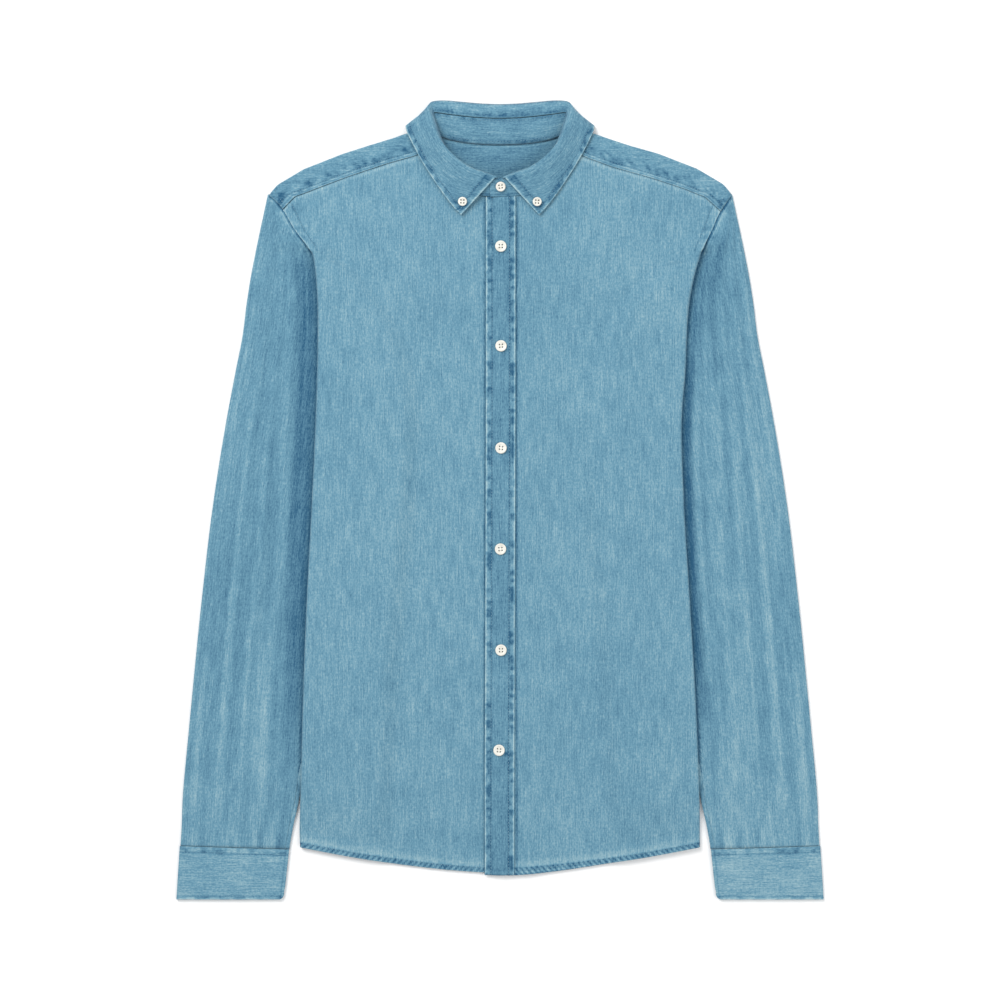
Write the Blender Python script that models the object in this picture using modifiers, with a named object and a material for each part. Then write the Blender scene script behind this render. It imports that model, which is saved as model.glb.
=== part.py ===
"""A long-sleeved denim shirt, buttoned and laid flat on its back.

X runs across the shirt, Y towards the collar and Z up from the surface it lies on. The body's
side strips are folded under along two edges, the sleeves come back out beneath those strips,
and the collar stands round the neck opening. All lengths are millimetres until they are placed.
"""
import math

import bmesh
import bpy
from mathutils import Vector

MM = 0.001
CLOTH = 1.2          # thickness of a denim panel with its turnings
GAP = 0.35           # air between two layers or two edges
LAYER = CLOTH + GAP  # rise from one layer's middle to the next
FLOOR = CLOTH / 2    # middle of a layer that rests on the surface
HEM_DROP = 26.0      # how far the hem dips at the centre
NECK_LIFT = 2.5      # rise of the fronts where the collar holds them up
AIR_LIFT = 2.0       # rise of the fronts over the back near the shoulders
CUFF_CLOTH = 1.6     # thickness of a cuff, two layers and their padding
PLACKET_LEFT, PLACKET_RIGHT = -14.2, 15.6
BUTTON_D, TIP_BUTTON_D, BUTTON_T = 11.4, 9.0, 2.4

DENIM = (0.17, 0.36, 0.48)
SHELL = (0.73, 0.72, 0.66)

# Body sections, hem to underarm to shoulder: the fold edges each side of the centre line, how
# far the side strip is folded under, and how high the sleeve beneath lifts the strip.
#        y     left  right  tuck  lift
BODY = (
    (-347.0, 200.0, 200.0, 68.0, 0.0),
    (-330.0, 200.6, 200.0, 68.0, 0.0),
    (-313.0, 200.2, 199.8, 68.0, 1.8),
    (-297.0, 199.6, 199.4, 68.0, 3.3),
    (-200.0, 197.0, 195.6, 70.0, 3.3),
    (-100.0, 193.2, 189.8, 74.0, 3.3),
    (0.0, 188.0, 183.8, 79.0, 3.3),
    (90.0, 184.0, 182.2, 79.0, 3.3),
    (130.0, 182.8, 185.4, 72.0, 3.3),
    (165.0, 182.2, 186.8, 60.0, 3.3),
    (195.0, 182.4, 189.0, 44.0, 3.3),
    (218.0, 183.6, 193.0, 26.0, 3.3),
    (236.0, 185.6, 197.6, 8.0, 3.3),
)
# Armhole seam above the fold edges.
#        y     left   right
ARMHOLE = (
    (240.0, 186.2, 199.0),
    (244.0, 187.0, 200.0),
    (253.0, 192.0, 203.5),
    (265.0, 201.2, 209.4),
    (273.0, 206.8, 213.3),
    (281.0, 211.2, 216.6),
    (289.0, 215.8, 220.8),
    (297.0, 222.4, 226.0),
    (305.0, 231.0, 232.0),
)
# Outline of the shoulders, where the yoke turns over to the front.
#        x     left y  right y
SHOULDER = (
    (60.0, 370.5, 370.5),
    (80.0, 369.0, 369.0),
    (94.0, 366.5, 366.5),
    (107.0, 362.0, 362.0),
    (130.0, 355.0, 354.5),
    (158.0, 346.0, 346.5),
    (196.0, 331.0, 331.5),
    (222.0, 315.5, 316.0),
    (231.0, 305.0, 305.0),
)
# Seam between yoke and fronts.
#        x     left y  right y
FRONT_SEAM = (
    (70.0, 349.0, 349.5),
    (88.0, 343.0, 341.5),
    (113.0, 336.0, 332.5),
    (152.0, 323.0, 321.5),
    (184.0, 311.0, 311.0),
    (205.0, 303.0, 302.5),
    (222.0, 285.3, 287.2),
)
# Neckline of the fronts, centre to shoulder, each with the armhole point its row runs out to.
#       neck x, neck y, arm y left, arm y right
NECK_ROWS = (
    (14.0, 285.0, 253.0, 253.0),
    (14.0, 301.5, 259.0, 259.0),
    (33.0, 306.5, 265.0, 265.0),
    (50.0, 316.0, 273.0, 273.0),
    (63.0, 330.0, 281.0, 281.0),
    (71.5, 348.0, 291.2, 288.6),
)
# Sleeve sections: outer edge and flat width, both sides alike but for the armhole above.
#        y    outer  width
SLEEVE = (
    (-347.0, 320.0, 109.4),
    (-325.0, 318.6, 112.0),
    (-305.0, 318.0, 116.0),
    (-262.0, 314.6, 120.4),
    (-250.0, 313.4, 122.0),
    (-200.0, 308.6, 128.0),
    (-100.0, 298.6, 143.0),
    (0.0, 286.6, 158.0),
    (90.0, 270.6, 170.0),
    (130.0, 264.4, 158.0),
    (165.0, 257.6, 138.0),
    (195.0, 252.4, 116.0),
    (218.0, 250.4, 90.0),
    (236.0, 247.6, 70.0),
)
# Collar stations, centre front to centre back: neckline seam, top edge of the stand, roll line
# and outer edge of the leaf. Heights are above the surface.
#    seam x  y      z    top x  y      z    roll x y      z    out x   y      z
COLLAR = (
    (0.0, 302.6, 8.6, 2.5, 320.0, 12.2, 4.0, 322.0, 15.6, 39.0, 284.6, 8.4),
    (12.0, 303.4, 8.6, 14.0, 322.0, 12.6, 16.0, 326.6, 17.4, 45.5, 291.5, 8.2),
    (25.0, 305.4, 8.4, 26.0, 326.0, 13.2, 29.0, 331.0, 18.4, 52.0, 299.5, 8.2),
    (40.0, 311.0, 8.2, 38.0, 333.0, 13.6, 42.0, 339.5, 18.8, 61.0, 312.0, 8.2),
    (53.0, 320.5, 8.0, 48.0, 342.5, 13.6, 53.0, 350.0, 18.8, 70.0, 325.5, 8.2),
    (63.0, 333.0, 7.8, 56.0, 354.0, 13.2, 61.5, 361.5, 18.2, 79.0, 340.0, 8.2),
    (70.0, 346.0, 7.4, 61.0, 366.0, 12.2, 67.0, 374.0, 17.0, 87.0, 355.0, 8.0),
    (73.0, 358.0, 6.6, 64.5, 377.0, 10.6, 70.5, 386.0, 14.6, 93.4, 369.0, 7.2),
    (71.0, 366.0, 5.2, 66.5, 384.5, 8.6, 71.5, 393.0, 10.5, 92.6, 374.4, 0.6),
    (62.0, 364.5, 3.9, 64.0, 386.5, 6.8, 67.0, 398.0, 5.6, 80.0, 362.0, 0.6),
    (50.0, 360.5, 3.4, 52.0, 385.0, 6.0, 54.0, 399.0, 4.0, 60.0, 355.5, 0.6),
    (34.0, 357.5, 3.4, 35.0, 383.0, 5.8, 36.0, 397.5, 3.8, 39.0, 351.0, 0.6),
    (17.0, 356.0, 3.4, 17.5, 381.5, 5.8, 18.0, 396.0, 3.8, 19.0, 349.0, 0.6),
    (0.0, 355.6, 3.4, 0.0, 381.0, 5.8, 0.0, 395.4, 3.8, 0.0, 348.5, 0.6),
)
# Buttons down the placket: x, y.
FRONT_BUTTONS = ((0.8, 253.4), (1.0, 154.0), (1.0, 52.0), (0.5, -49.0), (1.0, -150.0),
                 (-1.0, -250.0))


def smooth(value):
    """Ease a value from 0 to 1."""
    value = min(1.0, max(0.0, value))
    return value * value * (3.0 - 2.0 * value)


def along(table, key, column):
    """Read a column of a table between its rows, by the table's first column."""
    if key <= table[0][0]:
        return table[0][column]
    for low, high in zip(table, table[1:]):
        if key <= high[0]:
            part = (key - low[0]) / (high[0] - low[0])
            return low[column] + (high[column] - low[column]) * part
    return table[-1][column]


def side_column(side):
    """Tables list the left side (-X) first."""
    return 1 if side < 0 else 2


def body_edge(side, y):
    """Distance of the body's fold edge or armhole seam from the centre line."""
    if y > BODY[-1][0]:
        return along((BODY[-1][:3],) + ARMHOLE, y, side_column(side))
    return along(BODY, y, side_column(side))


def tuck(y):
    """Width of the side strip that is folded under."""
    return along(BODY, y, 3) if y <= BODY[-1][0] else 0.0


def fold_turn(y):
    """Angle that the panel's edge has turned under: none at the armhole, half a turn below."""
    return math.pi * (1.0 - smooth((y - 240.0) / 13.0))


def lift(y):
    """Height of the folded strip's underside above the surface."""
    return along(BODY, y, 4) * (1.0 - smooth((y - 248.0) / 17.0))


def rise(side, x, y):
    """Rise of the body's back over the folded strip and the sleeve beneath it."""
    edge = body_edge(side, y)
    strip = 2.0 * LAYER * (1.0 - smooth((y - 248.0) / 17.0))
    start = edge - tuck(y) - 30.0
    return (lift(y) + strip) * smooth((abs(x) - start) / 26.0)


def back_level(side, x, y):
    """Height of the middle of the back, raised where the collar leaf lies beneath it."""
    over_leaf = LAYER * smooth((y - 322.0) / 22.0) * (1.0 - smooth((abs(x) - 96.0) / 16.0))
    return FLOOR + rise(side, x, y) + over_leaf


def air(y):
    """Extra air between front and back towards the shoulders."""
    return AIR_LIFT * smooth((y - 170.0) / 55.0)


def front_level(side, x, y):
    """Height of the middle of a front or of the yoke's front part."""
    neck = NECK_LIFT * math.exp(-((x / 95.0) ** 2 + ((y - 335.0) / 45.0) ** 2))
    return FLOOR + rise(side, x, y) + LAYER + air(y) + neck


def hem(s):
    """Dip of the hem at a distance from the centre line, turning up under the strip."""
    if s > 200.0:
        return -0.16 * (s - 200.0)
    return HEM_DROP * (1.0 - (abs(s) / 200.0) ** 1.6)


def hem_weight(y):
    """How much of the hem's dip a row takes."""
    return 1.0 - smooth((y + 347.0) / 130.0)


def collection_for(name):
    """Collection that holds the shirt's pieces."""
    made = bpy.data.collections.new(name)
    bpy.context.scene.collection.children.link(made)
    return made


def material(name, colour, roughness):
    """Plain surface for one piece."""
    made = bpy.data.materials.new(name)
    made.use_nodes = True
    shader = made.node_tree.nodes["Principled BSDF"]
    shader.inputs["Base Color"].default_value = (*colour, 1.0)
    shader.inputs["Roughness"].default_value = roughness
    shader.inputs["Metallic"].default_value = 0.0
    return made


def add_object(name, mesh, colour, roughness):
    """Put one piece in the shirt's collection."""
    made = bpy.data.objects.new(name, mesh)
    SHIRT.objects.link(made)
    mesh.materials.append(material(name, colour, roughness))
    return made


def sheet(name, across, rows, shape, thickness=CLOTH):
    """One cut of cloth: a grid bent by shape(column, row) and given its thickness."""
    cloth = bmesh.new()
    bmesh.ops.create_grid(cloth, x_segments=across, y_segments=rows, size=0.5)
    for vert in cloth.verts:
        column = round((vert.co.x + 0.5) * across)
        row = round((vert.co.y + 0.5) * rows)
        vert.co = Vector(shape(column, row)) * MM
    mesh = bpy.data.meshes.new(name)
    cloth.to_mesh(mesh)
    cloth.free()
    made = add_object(name, mesh, DENIM, 0.9)
    solid = made.modifiers.new("thickness", "SOLIDIFY")
    solid.thickness = thickness * MM
    solid.offset = 0.0
    mesh.shade_smooth()
    return made


FLAT, ARC, STRIP = 6, 4, 3      # columns over the flat, round the fold and under it
COLUMNS = FLAT + ARC + STRIP


def flat_columns(edge, under, start):
    """Distances of a row's flat columns: the slope over the folded strip has its own."""
    if under > 5.0:
        slope, end = edge - under - 30.0, edge - CLOTH / 2 - 1.5 * LAYER
        top = slope + 27.0
    else:
        slope, end = edge - 33.0, edge - CLOTH / 2 - 1.5 * LAYER
        top = edge - 9.0
    middle = (start + slope) / 2
    return [start, middle, slope, (slope + top) / 2, top, (top + end) / 2, end]


def body_point(side, column, y, start, on_front):
    """Point of a body panel's row: over the flat, round the fold edge and back under it."""
    edge, under, turn = body_edge(side, y), tuck(y), fold_turn(y)
    level = front_level if on_front else back_level
    flats = flat_columns(edge, under, start)
    if column <= FLAT:
        return flats[column], flats[column], level(side, flats[column], y)
    centre = flats[-1] - (0.0 if on_front else 1.2 * smooth((y - 218.0) / 18.0))
    if turn <= 0.0:
        x = centre + (edge - GAP / 2 - centre) * (column - FLAT) / (ARC + STRIP)
        return x, x, level(side, x, y)
    bottom = lift(y) + FLOOR + (0.0 if on_front else LAYER)
    radius = (level(side, centre, y) - bottom) / 2
    if under <= 0.0 or column <= FLAT + ARC:
        steps = ARC if under > 0.0 else ARC + STRIP
        angle = turn * (column - FLAT) / steps
        reach = radius * math.sin(angle)
        reach *= min(1.0, (edge - CLOTH / 2 - centre) / radius) if on_front else 1.0
        return centre + reach, centre + radius * angle, bottom + radius * (1 + math.cos(angle))
    run = under * (column - FLAT - ARC) / STRIP
    return centre - run, centre + radius * math.pi + run, bottom


def overlap_level(side, x, z):
    """The left front (+X) crosses over the right one at the centre."""
    return z + (LAYER + 0.2) * (1.0 - smooth((abs(x) - 22.0) / 30.0)) if side > 0 else z


TURN_YS = (240.0, 244.0, 248.0)        # rows where the panels' edges turn under
FAN = (0.0, 0.035, 0.08, 0.13, 0.22, 0.32, 0.44, 0.56, 0.68, 0.79, 0.89, 0.925, 0.96, 1.0)


def front_rows():
    """Rows of a front, hem to yoke seam: neck x and y, arm y left and right, seam's share."""
    rows = [(14.0, row[0], row[0], row[0], 0.0) for row in BODY]
    rows += [(14.0, y, y, y, 0.0) for y in TURN_YS]
    count = len(NECK_ROWS) - 1
    for index, (neck_x, neck_y, left, right) in enumerate(NECK_ROWS):
        rows.append((neck_x, neck_y, left, right, smooth((index - 1) / (count - 1))))
    return rows


FRONT_ROWS = front_rows()


def front_point(side, column, row):
    """A front: fans out above the underarm to follow the neckline and the yoke seam."""
    neck_x, neck_y, left, right, curve = FRONT_ROWS[row]
    arm_y = left if side < 0 else right
    start = neck_x if neck_x > 14.0 else (-14.0 if side < 0 else 8.0)
    x, s, z = body_point(side, column, arm_y, start, True)
    if row < len(BODY) + len(TURN_YS):
        return side * x, arm_y - hem(s) * hem_weight(arm_y), overlap_level(side, x, z)
    end = body_edge(side, arm_y) - GAP / 2
    if arm_y >= 265.0:
        x = start + (end - start) * FAN[column]
    share = (x - start) / (end - start)
    y = neck_y + (arm_y - neck_y) * share
    seam = along(FRONT_SEAM, x, side_column(side)) - GAP - 0.1
    y += (seam - y) * curve * smooth(share * 8.0)
    return side * x, y, overlap_level(side, x, front_level(side, x, y))


BACK_YS = [row[0] for row in BODY] + [*TURN_YS, 253.0, 259.0, 264.5]


def back_point(column, row):
    """The back: one panel from fold to fold and under, plain up to the yoke's back seam."""
    side = -1 if column < COLUMNS else 1
    y_row = BACK_YS[row]
    x, s, z = body_point(side, abs(column - COLUMNS), y_row, 0.0, False)
    drop = hem(s) - 3.0 if y_row < -300.0 else hem(s)
    return side * x, y_row - drop * hem_weight(y_row), z


YOKE_X = (0.0, 18.0, 36.0, 52.0, 64.0, 70.0, 76.0, 82.0, 88.0, 99.0, 113.0, 132.0, 152.0,
          184.0, 205.0, 218.0, 231.0)
YOKE_BACK, YOKE_ARC, YOKE_FRONT = 5, 3, 2
# How much of the turn over the shoulder each yoke column keeps beside the neck.
#            x     kept
NECK_CUT = ((64.0, 0.0), (70.0, 0.08), (76.0, 0.3), (82.0, 0.62), (88.0, 1.0))


def back_neck(x):
    """Back neckline of the yoke."""
    return 354.2 + 9.0 * smooth((abs(x) - 22.0) / 56.0)


def yoke_inset(x, y, side):
    """The yoke's outer columns draw in along the armhole."""
    return (231.0 - body_edge(side, min(y, 305.0)) + GAP / 2) * smooth((x - 110.0) / 121.0)


def yoke_seam(side, x):
    """Where a yoke column meets the front's seam."""
    y = along(FRONT_SEAM, x, side_column(side))
    for _ in range(12):
        y += (along(FRONT_SEAM, x - yoke_inset(x, y, side), side_column(side)) - y) / 2
    return y + GAP


def yoke_fold(side, x):
    """Centre of the yoke's turn over the shoulder with its bottom and top heights."""
    edge = along(SHOULDER, x, side_column(side))
    bottom = back_level(side, x, edge - 4.0)
    top = front_level(side, x, edge - 4.0)
    return edge - CLOTH / 2 - (top - bottom) / 2, bottom, top


def yoke_path(side, x, row):
    """Position up the back, over the shoulder and down the front, and the height there."""
    centre, bottom, top = yoke_fold(side, x)
    kept = along(NECK_CUT, x, 1)
    if x < 76.0:
        centre = min(centre, back_neck(x) - 2.0)
    if row < YOKE_BACK:
        y = 265.1 + (centre - 265.1) * row / YOKE_BACK
        return y, back_level(side, x, y)
    share = (row - YOKE_BACK) / (YOKE_ARC + YOKE_FRONT)
    if kept == 0.0:
        return centre + 2.0 * share, back_level(side, x, centre)
    radius = (top - bottom) / 2
    turns = YOKE_ARC / (YOKE_ARC + YOKE_FRONT)
    run = math.pi * radius * min(1.0, share / turns)
    run += (centre - yoke_seam(side, x)) * max(0.0, (share - turns) / (1.0 - turns))
    run *= kept
    if run < math.pi * radius:
        angle = run / radius
        return centre + radius * math.sin(angle), bottom + radius * (1.0 - math.cos(angle))
    y = centre - (run - math.pi * radius)
    return y, front_level(side, x, y)


def yoke_point(column, row):
    """The yoke, from armhole to armhole."""
    middle = len(YOKE_X) - 1
    side = -1 if column < middle else 1
    x = YOKE_X[abs(column - middle)]
    y, z = yoke_path(side, x, row)
    return side * (x - yoke_inset(x, y, side)), y, z


S_BOTTOM, S_ARC, S_TOP, S_SHOWN = 3, 3, 8, 6
SLEEVE_TOP = ((244.0, 245.6), (253.0, 244.4), (265.0, 242.0), (273.0, 240.0), (281.0, 238.0),
              (289.0, 236.2), (297.0, 234.4), (301.5, 233.6))
SLEEVE_YS = [row[0] for row in SLEEVE] + [row[0] for row in SLEEVE_TOP]
VENT_TOP = -262.0
VENT_WIDTH = 4.8


def sleeve_edges(side, y):
    """Outer and inner edge of a sleeve, measured from the centre line."""
    if y > SLEEVE[-1][0]:
        outer = along(((236.0, 247.6),) + SLEEVE_TOP, y, 1)
        if y < 244.0:
            return outer, body_edge(side, y) - 6.0
        return outer, body_edge(side, y) + 1.1
    outer = along(SLEEVE, y, 1)
    inner = outer - along(SLEEVE, y, 2)
    return outer, inner


def sleeve_open(side, y, inner):
    """Where a sleeve comes out from under the body."""
    return max(body_edge(side, y) + 3.0, inner) if y > -300.0 else inner


def sleeve_crown(side, x, y, outer, inner):
    """Soft rise of a sleeve's top layer, only where the body doesn't lie over it."""
    edge = sleeve_open(side, y, inner)
    width = max(outer - edge, 1.0)
    place = (x - edge) / width
    if place <= 0.0:
        return 0.0
    bump = math.sin(math.pi * min(1.0, place)) ** 0.7
    ridges = 0.5 + 0.5 * math.cos(place * 3.0 * 2.0 * math.pi + y / 90.0)
    ends = smooth((y + 347.0) / 60.0)
    return bump * (1.2 + 1.6 * ridges * ends) * smooth((width - 8.0) / 30.0)


def sleeve_point(side, column, row):
    """A sleeve: out along the surface, round the outer fold and back over to the inner edge."""
    y = SLEEVE_YS[row]
    outer, inner = sleeve_edges(side, y)
    at_seam = smooth((y - 244.0) / 16.0)
    low = FLOOR
    high = FLOOR + LAYER + at_seam * (air(y) + 0.1)
    crown = 0.0
    radius = (FLOOR + LAYER + 0.8 - low) / 2 if y > -340 else LAYER / 2
    centre = outer - CLOTH / 2 - radius
    y_out = y
    if column <= S_BOTTOM:
        x = inner + (centre - inner) * column / S_BOTTOM
        z = low + at_seam * rise(side, body_edge(side, y), y) * (1.0 - column / S_BOTTOM)
    elif column <= S_BOTTOM + S_ARC:
        turn = math.pi * (column - S_BOTTOM) / S_ARC
        x = centre + radius * math.sin(turn)
        z = low + radius * (1.0 - math.cos(turn))
    else:
        step = column - S_BOTTOM - S_ARC
        stop = inner + (5.3 if y <= VENT_TOP else 0.0)
        shown = max(sleeve_open(side, y, inner), stop + 0.4 * (centre - stop) if y > 240.0
                    or y < -255.0 else stop)
        x = centre - (centre - shown) * min(1.0, step / S_SHOWN)
        x -= (shown - stop) * max(0.0, (step - S_SHOWN) / (S_TOP - S_SHOWN))
        share = (centre - x) / (centre - stop)
        crown = sleeve_crown(side, x, y, outer, inner)
        seam_z = high if y > 244.0 else FLOOR + LAYER
        side_z = low + 2.0 * radius
        z = side_z + (seam_z - side_z) * smooth(share * 2.0) + crown
    if row == 0:
        y_out = -345.8 - 3.4 * (outer - x) / 110.0
    return side * x, y_out, z


def vent_point(side, column, row):
    """The binding of the sleeve vent: a narrow strip along the sleeve's inner edge."""
    y = (-347.0, -325.0, -305.0, VENT_TOP)[row]
    outer, inner = sleeve_edges(side, y)
    x = inner + VENT_WIDTH * column / 2
    y_out = -348.9 if row == 0 else y
    return side * x, y_out, FLOOR + LAYER


C_IN, C_FLAT, C_ARC = 3, 3, 4
CUFF_STEPS = (0.0, 0.6, 2.2, 5.0)
CUFF_ROWS = ((0.0, 0.0), (0.5, 0.0), (0.9, 0.0), (1.0, 1.0))    # depth down the cuff, rounding


def cuff_point(side, column, row):
    """A cuff: a band from its inner edge out, round the fold and back under to its other end."""
    half = C_IN + C_FLAT + C_ARC / 2
    under = column > half
    step = min(column, 2 * int(half) - column)
    depth, rounded = CUFF_ROWS[len(CUFF_ROWS) - 1 - row]
    outer = 320.6 + 3.4 * depth
    inner = 211.0 + (5.0 * depth if depth < 0.95 else 5.4)
    low, high = CUFF_CLOTH / 2, CUFF_CLOTH * 1.5 + GAP
    radius = (high - low) / 2
    centre = outer - CUFF_CLOTH / 2 - radius
    if step <= C_IN:
        x = inner + CUFF_STEPS[step]
    elif step <= C_IN + C_FLAT:
        first = inner + CUFF_STEPS[C_IN]
        x = first + (centre - first) * (step - C_IN) / C_FLAT
    else:
        turn = math.pi * (column - C_IN - C_FLAT) / C_ARC
        x = centre + radius * math.sin(turn)
        z = low + radius * (1.0 + math.cos(turn))
    if step <= C_IN + C_FLAT:
        z = low if under else high
    top = -346.2 - 3.4 * (outer - x) / 110.0
    y = top + (-399.6 - top) * depth
    if rounded:
        reach = max(0.0, 5.0 - (x - inner))
        y += 5.0 - math.sqrt(max(0.0, 25.0 - reach * reach))
    return side * x, y, z


def placket_point(column, row):
    """The front band: over the right front's edge, its far edge sewn on the left front."""
    ys = [row[0] for row in BODY] + [253.0, 285.0, 301.4]
    y = ys[row]
    spread = PLACKET_RIGHT - PLACKET_LEFT
    x = PLACKET_LEFT + spread * column / 4 - 1.2 * smooth((150.0 - y) / 500.0)
    y_out = y - (hem(x) - 0.3) * hem_weight(y)
    low = front_level(-1, 0.0, y) + LAYER
    z = low + LAYER * smooth((x - PLACKET_LEFT) / 18.0)
    return x, y_out, z + 0.2


def collar_row(index):
    """Collar stations run from the left side's centre front, round the back, to the right's."""
    last = len(COLLAR) - 1
    side = -1 if index <= last else 1
    station = COLLAR[index] if index <= last else COLLAR[2 * last - index]
    return side, station


def stand_point(column, row):
    """The collar stand: from the neckline seam up to the leaf, its ends crossed at the front."""
    side, station = collar_row(row)
    low, high = Vector(station[0:3]), Vector(station[3:6])
    spot = low.lerp(high, column / 3)
    spot.z += 0.8 * math.sin(math.pi * column / 3)
    if row == 0:
        spot.x = 9.5
        spot.z -= 0.9
        return -side * spot.x, spot.y, spot.z - LAYER / 2 + 0.4
    if row == 2 * (len(COLLAR) - 1):
        spot.x = 10.5
        spot.z -= 0.8 * math.sin(math.pi * column / 3)
        return -side * spot.x, spot.y, spot.z + LAYER / 2 + 0.4
    if row == 1:
        spot.z -= 0.7
    if row == 2 * (len(COLLAR) - 1) - 1:
        spot.z += 0.2
    return side * spot.x, spot.y, spot.z


def leaf_point(column, row):
    """The collar leaf: from the stand's top edge over the roll line to its free edge."""
    side, station = collar_row(row)
    stand, top = Vector(station[0:3]), Vector(station[3:6])
    roll, out = Vector(station[6:9]), Vector(station[9:12])
    start = top + (top - stand).normalized() * (GAP + 0.35) + Vector((0.0, 0.0, 0.6))
    if row in (0, 2 * (len(COLLAR) - 1)):
        start.z += 1.3
    if column <= 3:
        part = column / 3
        spot = start.lerp(roll, part)
        spot.z += 0.9 * math.sin(math.pi * part)
    else:
        part = (column - 3) / 6
        spot = roll.lerp(out, part)
        if out.z > 2.0:
            spot.z = roll.z + (out.z - roll.z) * (0.5 * part + 0.5 * smooth(part))
        else:
            spot.z = roll.z + (out.z - roll.z) * min(1.0, 2.2 * part)
    return side * spot.x, spot.y, spot.z


def button(name, spot, size, tilt=(0.0, 0.0)):
    """A shirt button: a turned disc with a rounded rim and a dished face."""
    radius, high = size / 2, BUTTON_T
    profile = ((0.0, high * 0.62), (radius * 0.52, high * 0.62), (radius * 0.66, high),
               (radius * 0.88, high), (radius, high * 0.7), (radius, high * 0.35),
               (radius * 0.8, 0.0), (0.0, 0.0))
    mesh = bpy.data.meshes.new(name)
    turned = bmesh.new()
    points = [turned.verts.new((x * MM, 0.0, z * MM)) for x, z in profile]
    for first, second in zip(points, points[1:]):
        turned.edges.new((first, second))
    turned.to_mesh(mesh)
    turned.free()
    made = add_object(name, mesh, SHELL, 0.35)
    screw = made.modifiers.new("turn", "SCREW")
    screw.steps = screw.render_steps = 20
    screw.use_merge_vertices = True
    screw.merge_threshold = 0.00005
    made.location = Vector(spot) * MM
    made.rotation_euler = (*tilt, 0.0)
    mesh.shade_smooth()
    return made


def front_buttons():
    """Six buttons down the placket."""
    for number, (x, y) in enumerate(FRONT_BUTTONS, 1):
        base = placket_height(x, y) + CLOTH / 2 + GAP
        button(f"button_front_{number}", (x, y, base), BUTTON_D)


def placket_height(x, y):
    """Middle of the placket at a place."""
    return front_level(-1, 0.0, y) + LAYER + LAYER * smooth((x - PLACKET_LEFT) / 18.0) + 0.35


for old in list(bpy.data.objects):
    bpy.data.objects.remove(old, do_unlink=True)
SHIRT = collection_for("denim_shirt")

sheet("front_right", COLUMNS, len(FRONT_ROWS) - 1, lambda c, r: front_point(-1, COLUMNS - c, r))
sheet("front_left", COLUMNS, len(FRONT_ROWS) - 1, lambda c, r: front_point(1, c, r))
sheet("back", 2 * COLUMNS, len(BACK_YS) - 1, back_point)
sheet("placket", 4, len(BODY) + 2, placket_point)
sheet("yoke", 2 * (len(YOKE_X) - 1), YOKE_BACK + YOKE_ARC + YOKE_FRONT, yoke_point)
for label, hand in (("right", -1), ("left", 1)):
    sheet(f"sleeve_{label}", S_BOTTOM + S_ARC + S_TOP, len(SLEEVE_YS) - 1,
          lambda c, r, hand=hand: sleeve_point(hand, c, r))
    sheet(f"vent_{label}", 2, 3, lambda c, r, hand=hand: vent_point(hand, c, r))
    sheet(f"cuff_{label}", 2 * (C_IN + C_FLAT) + C_ARC, len(CUFF_ROWS) - 1,
          lambda c, r, hand=hand: cuff_point(hand, c, r), CUFF_CLOTH)
sheet("collar_stand", 3, 2 * (len(COLLAR) - 1), stand_point)
sheet("collar_leaf", 9, 2 * (len(COLLAR) - 1), leaf_point)
front_buttons()
button("button_stand", (0.6, 312.7, 12.75), BUTTON_D - 1.6, (0.22, 0.0))
button("button_tip_right", (-37.3, 298.0, 10.9), TIP_BUTTON_D, (0.15, -0.1))
button("button_tip_left", (36.9, 297.8, 11.0), TIP_BUTTON_D, (0.15, 0.11))
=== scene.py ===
"""Visual model of a washed denim shirt, buttoned and laid flat on its back.

Each cut of cloth is a fine sheet on the form of its CAD solid, given its relief by creases, seam
puckers and a light rumple, and dressed in one denim finish that follows the grain.
Lengths inside the pattern are millimetres; meshes are in metres.
"""
from __future__ import annotations

import logging
import math
from dataclasses import dataclass, field
from enum import Enum
from typing import Sequence

import bpy
import numpy as np
from mathutils import Euler, Matrix, Vector

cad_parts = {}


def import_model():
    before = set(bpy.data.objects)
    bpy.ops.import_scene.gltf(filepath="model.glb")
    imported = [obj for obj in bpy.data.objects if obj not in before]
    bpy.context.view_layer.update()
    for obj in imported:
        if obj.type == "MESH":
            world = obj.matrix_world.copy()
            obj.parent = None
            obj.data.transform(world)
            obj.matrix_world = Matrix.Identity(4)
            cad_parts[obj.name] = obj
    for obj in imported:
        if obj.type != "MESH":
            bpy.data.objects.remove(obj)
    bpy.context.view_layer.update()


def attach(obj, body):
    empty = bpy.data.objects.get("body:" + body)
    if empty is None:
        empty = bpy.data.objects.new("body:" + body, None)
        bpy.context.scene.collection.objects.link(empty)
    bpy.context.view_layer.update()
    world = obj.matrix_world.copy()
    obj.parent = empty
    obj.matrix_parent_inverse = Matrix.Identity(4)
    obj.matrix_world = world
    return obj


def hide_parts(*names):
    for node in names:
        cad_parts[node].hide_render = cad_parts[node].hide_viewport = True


LOG = logging.getLogger("shirt")
Array = np.ndarray
MM = 0.001
# Wall of the cloth, air between layers, one layer's rise, and the middle of the lowest layer.
CLOTH, GAP = 1.2, 0.35
LAYER = CLOTH + GAP
FLOOR = CLOTH / 2
# Columns of a panel's row: flat, round the fold, and tucked under.
FLAT, ARC, STRIP = 6, 4, 3
# Heights up the shirt from its middle: lower edges, armhole and shoulder corner.
CUFF_Y, HEM_Y, UNDERARM_Y = -399.6, -347.0, 236.0
ARMHOLE_Y, SEAM_Y, SHOULDER_Y = 240.0, 244.0, 305.0
# Half width at the shoulder corner, and how far a front reaches under the sleeve's edge.
SHOULDER_X, LAP = 231.0, 0.2

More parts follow.
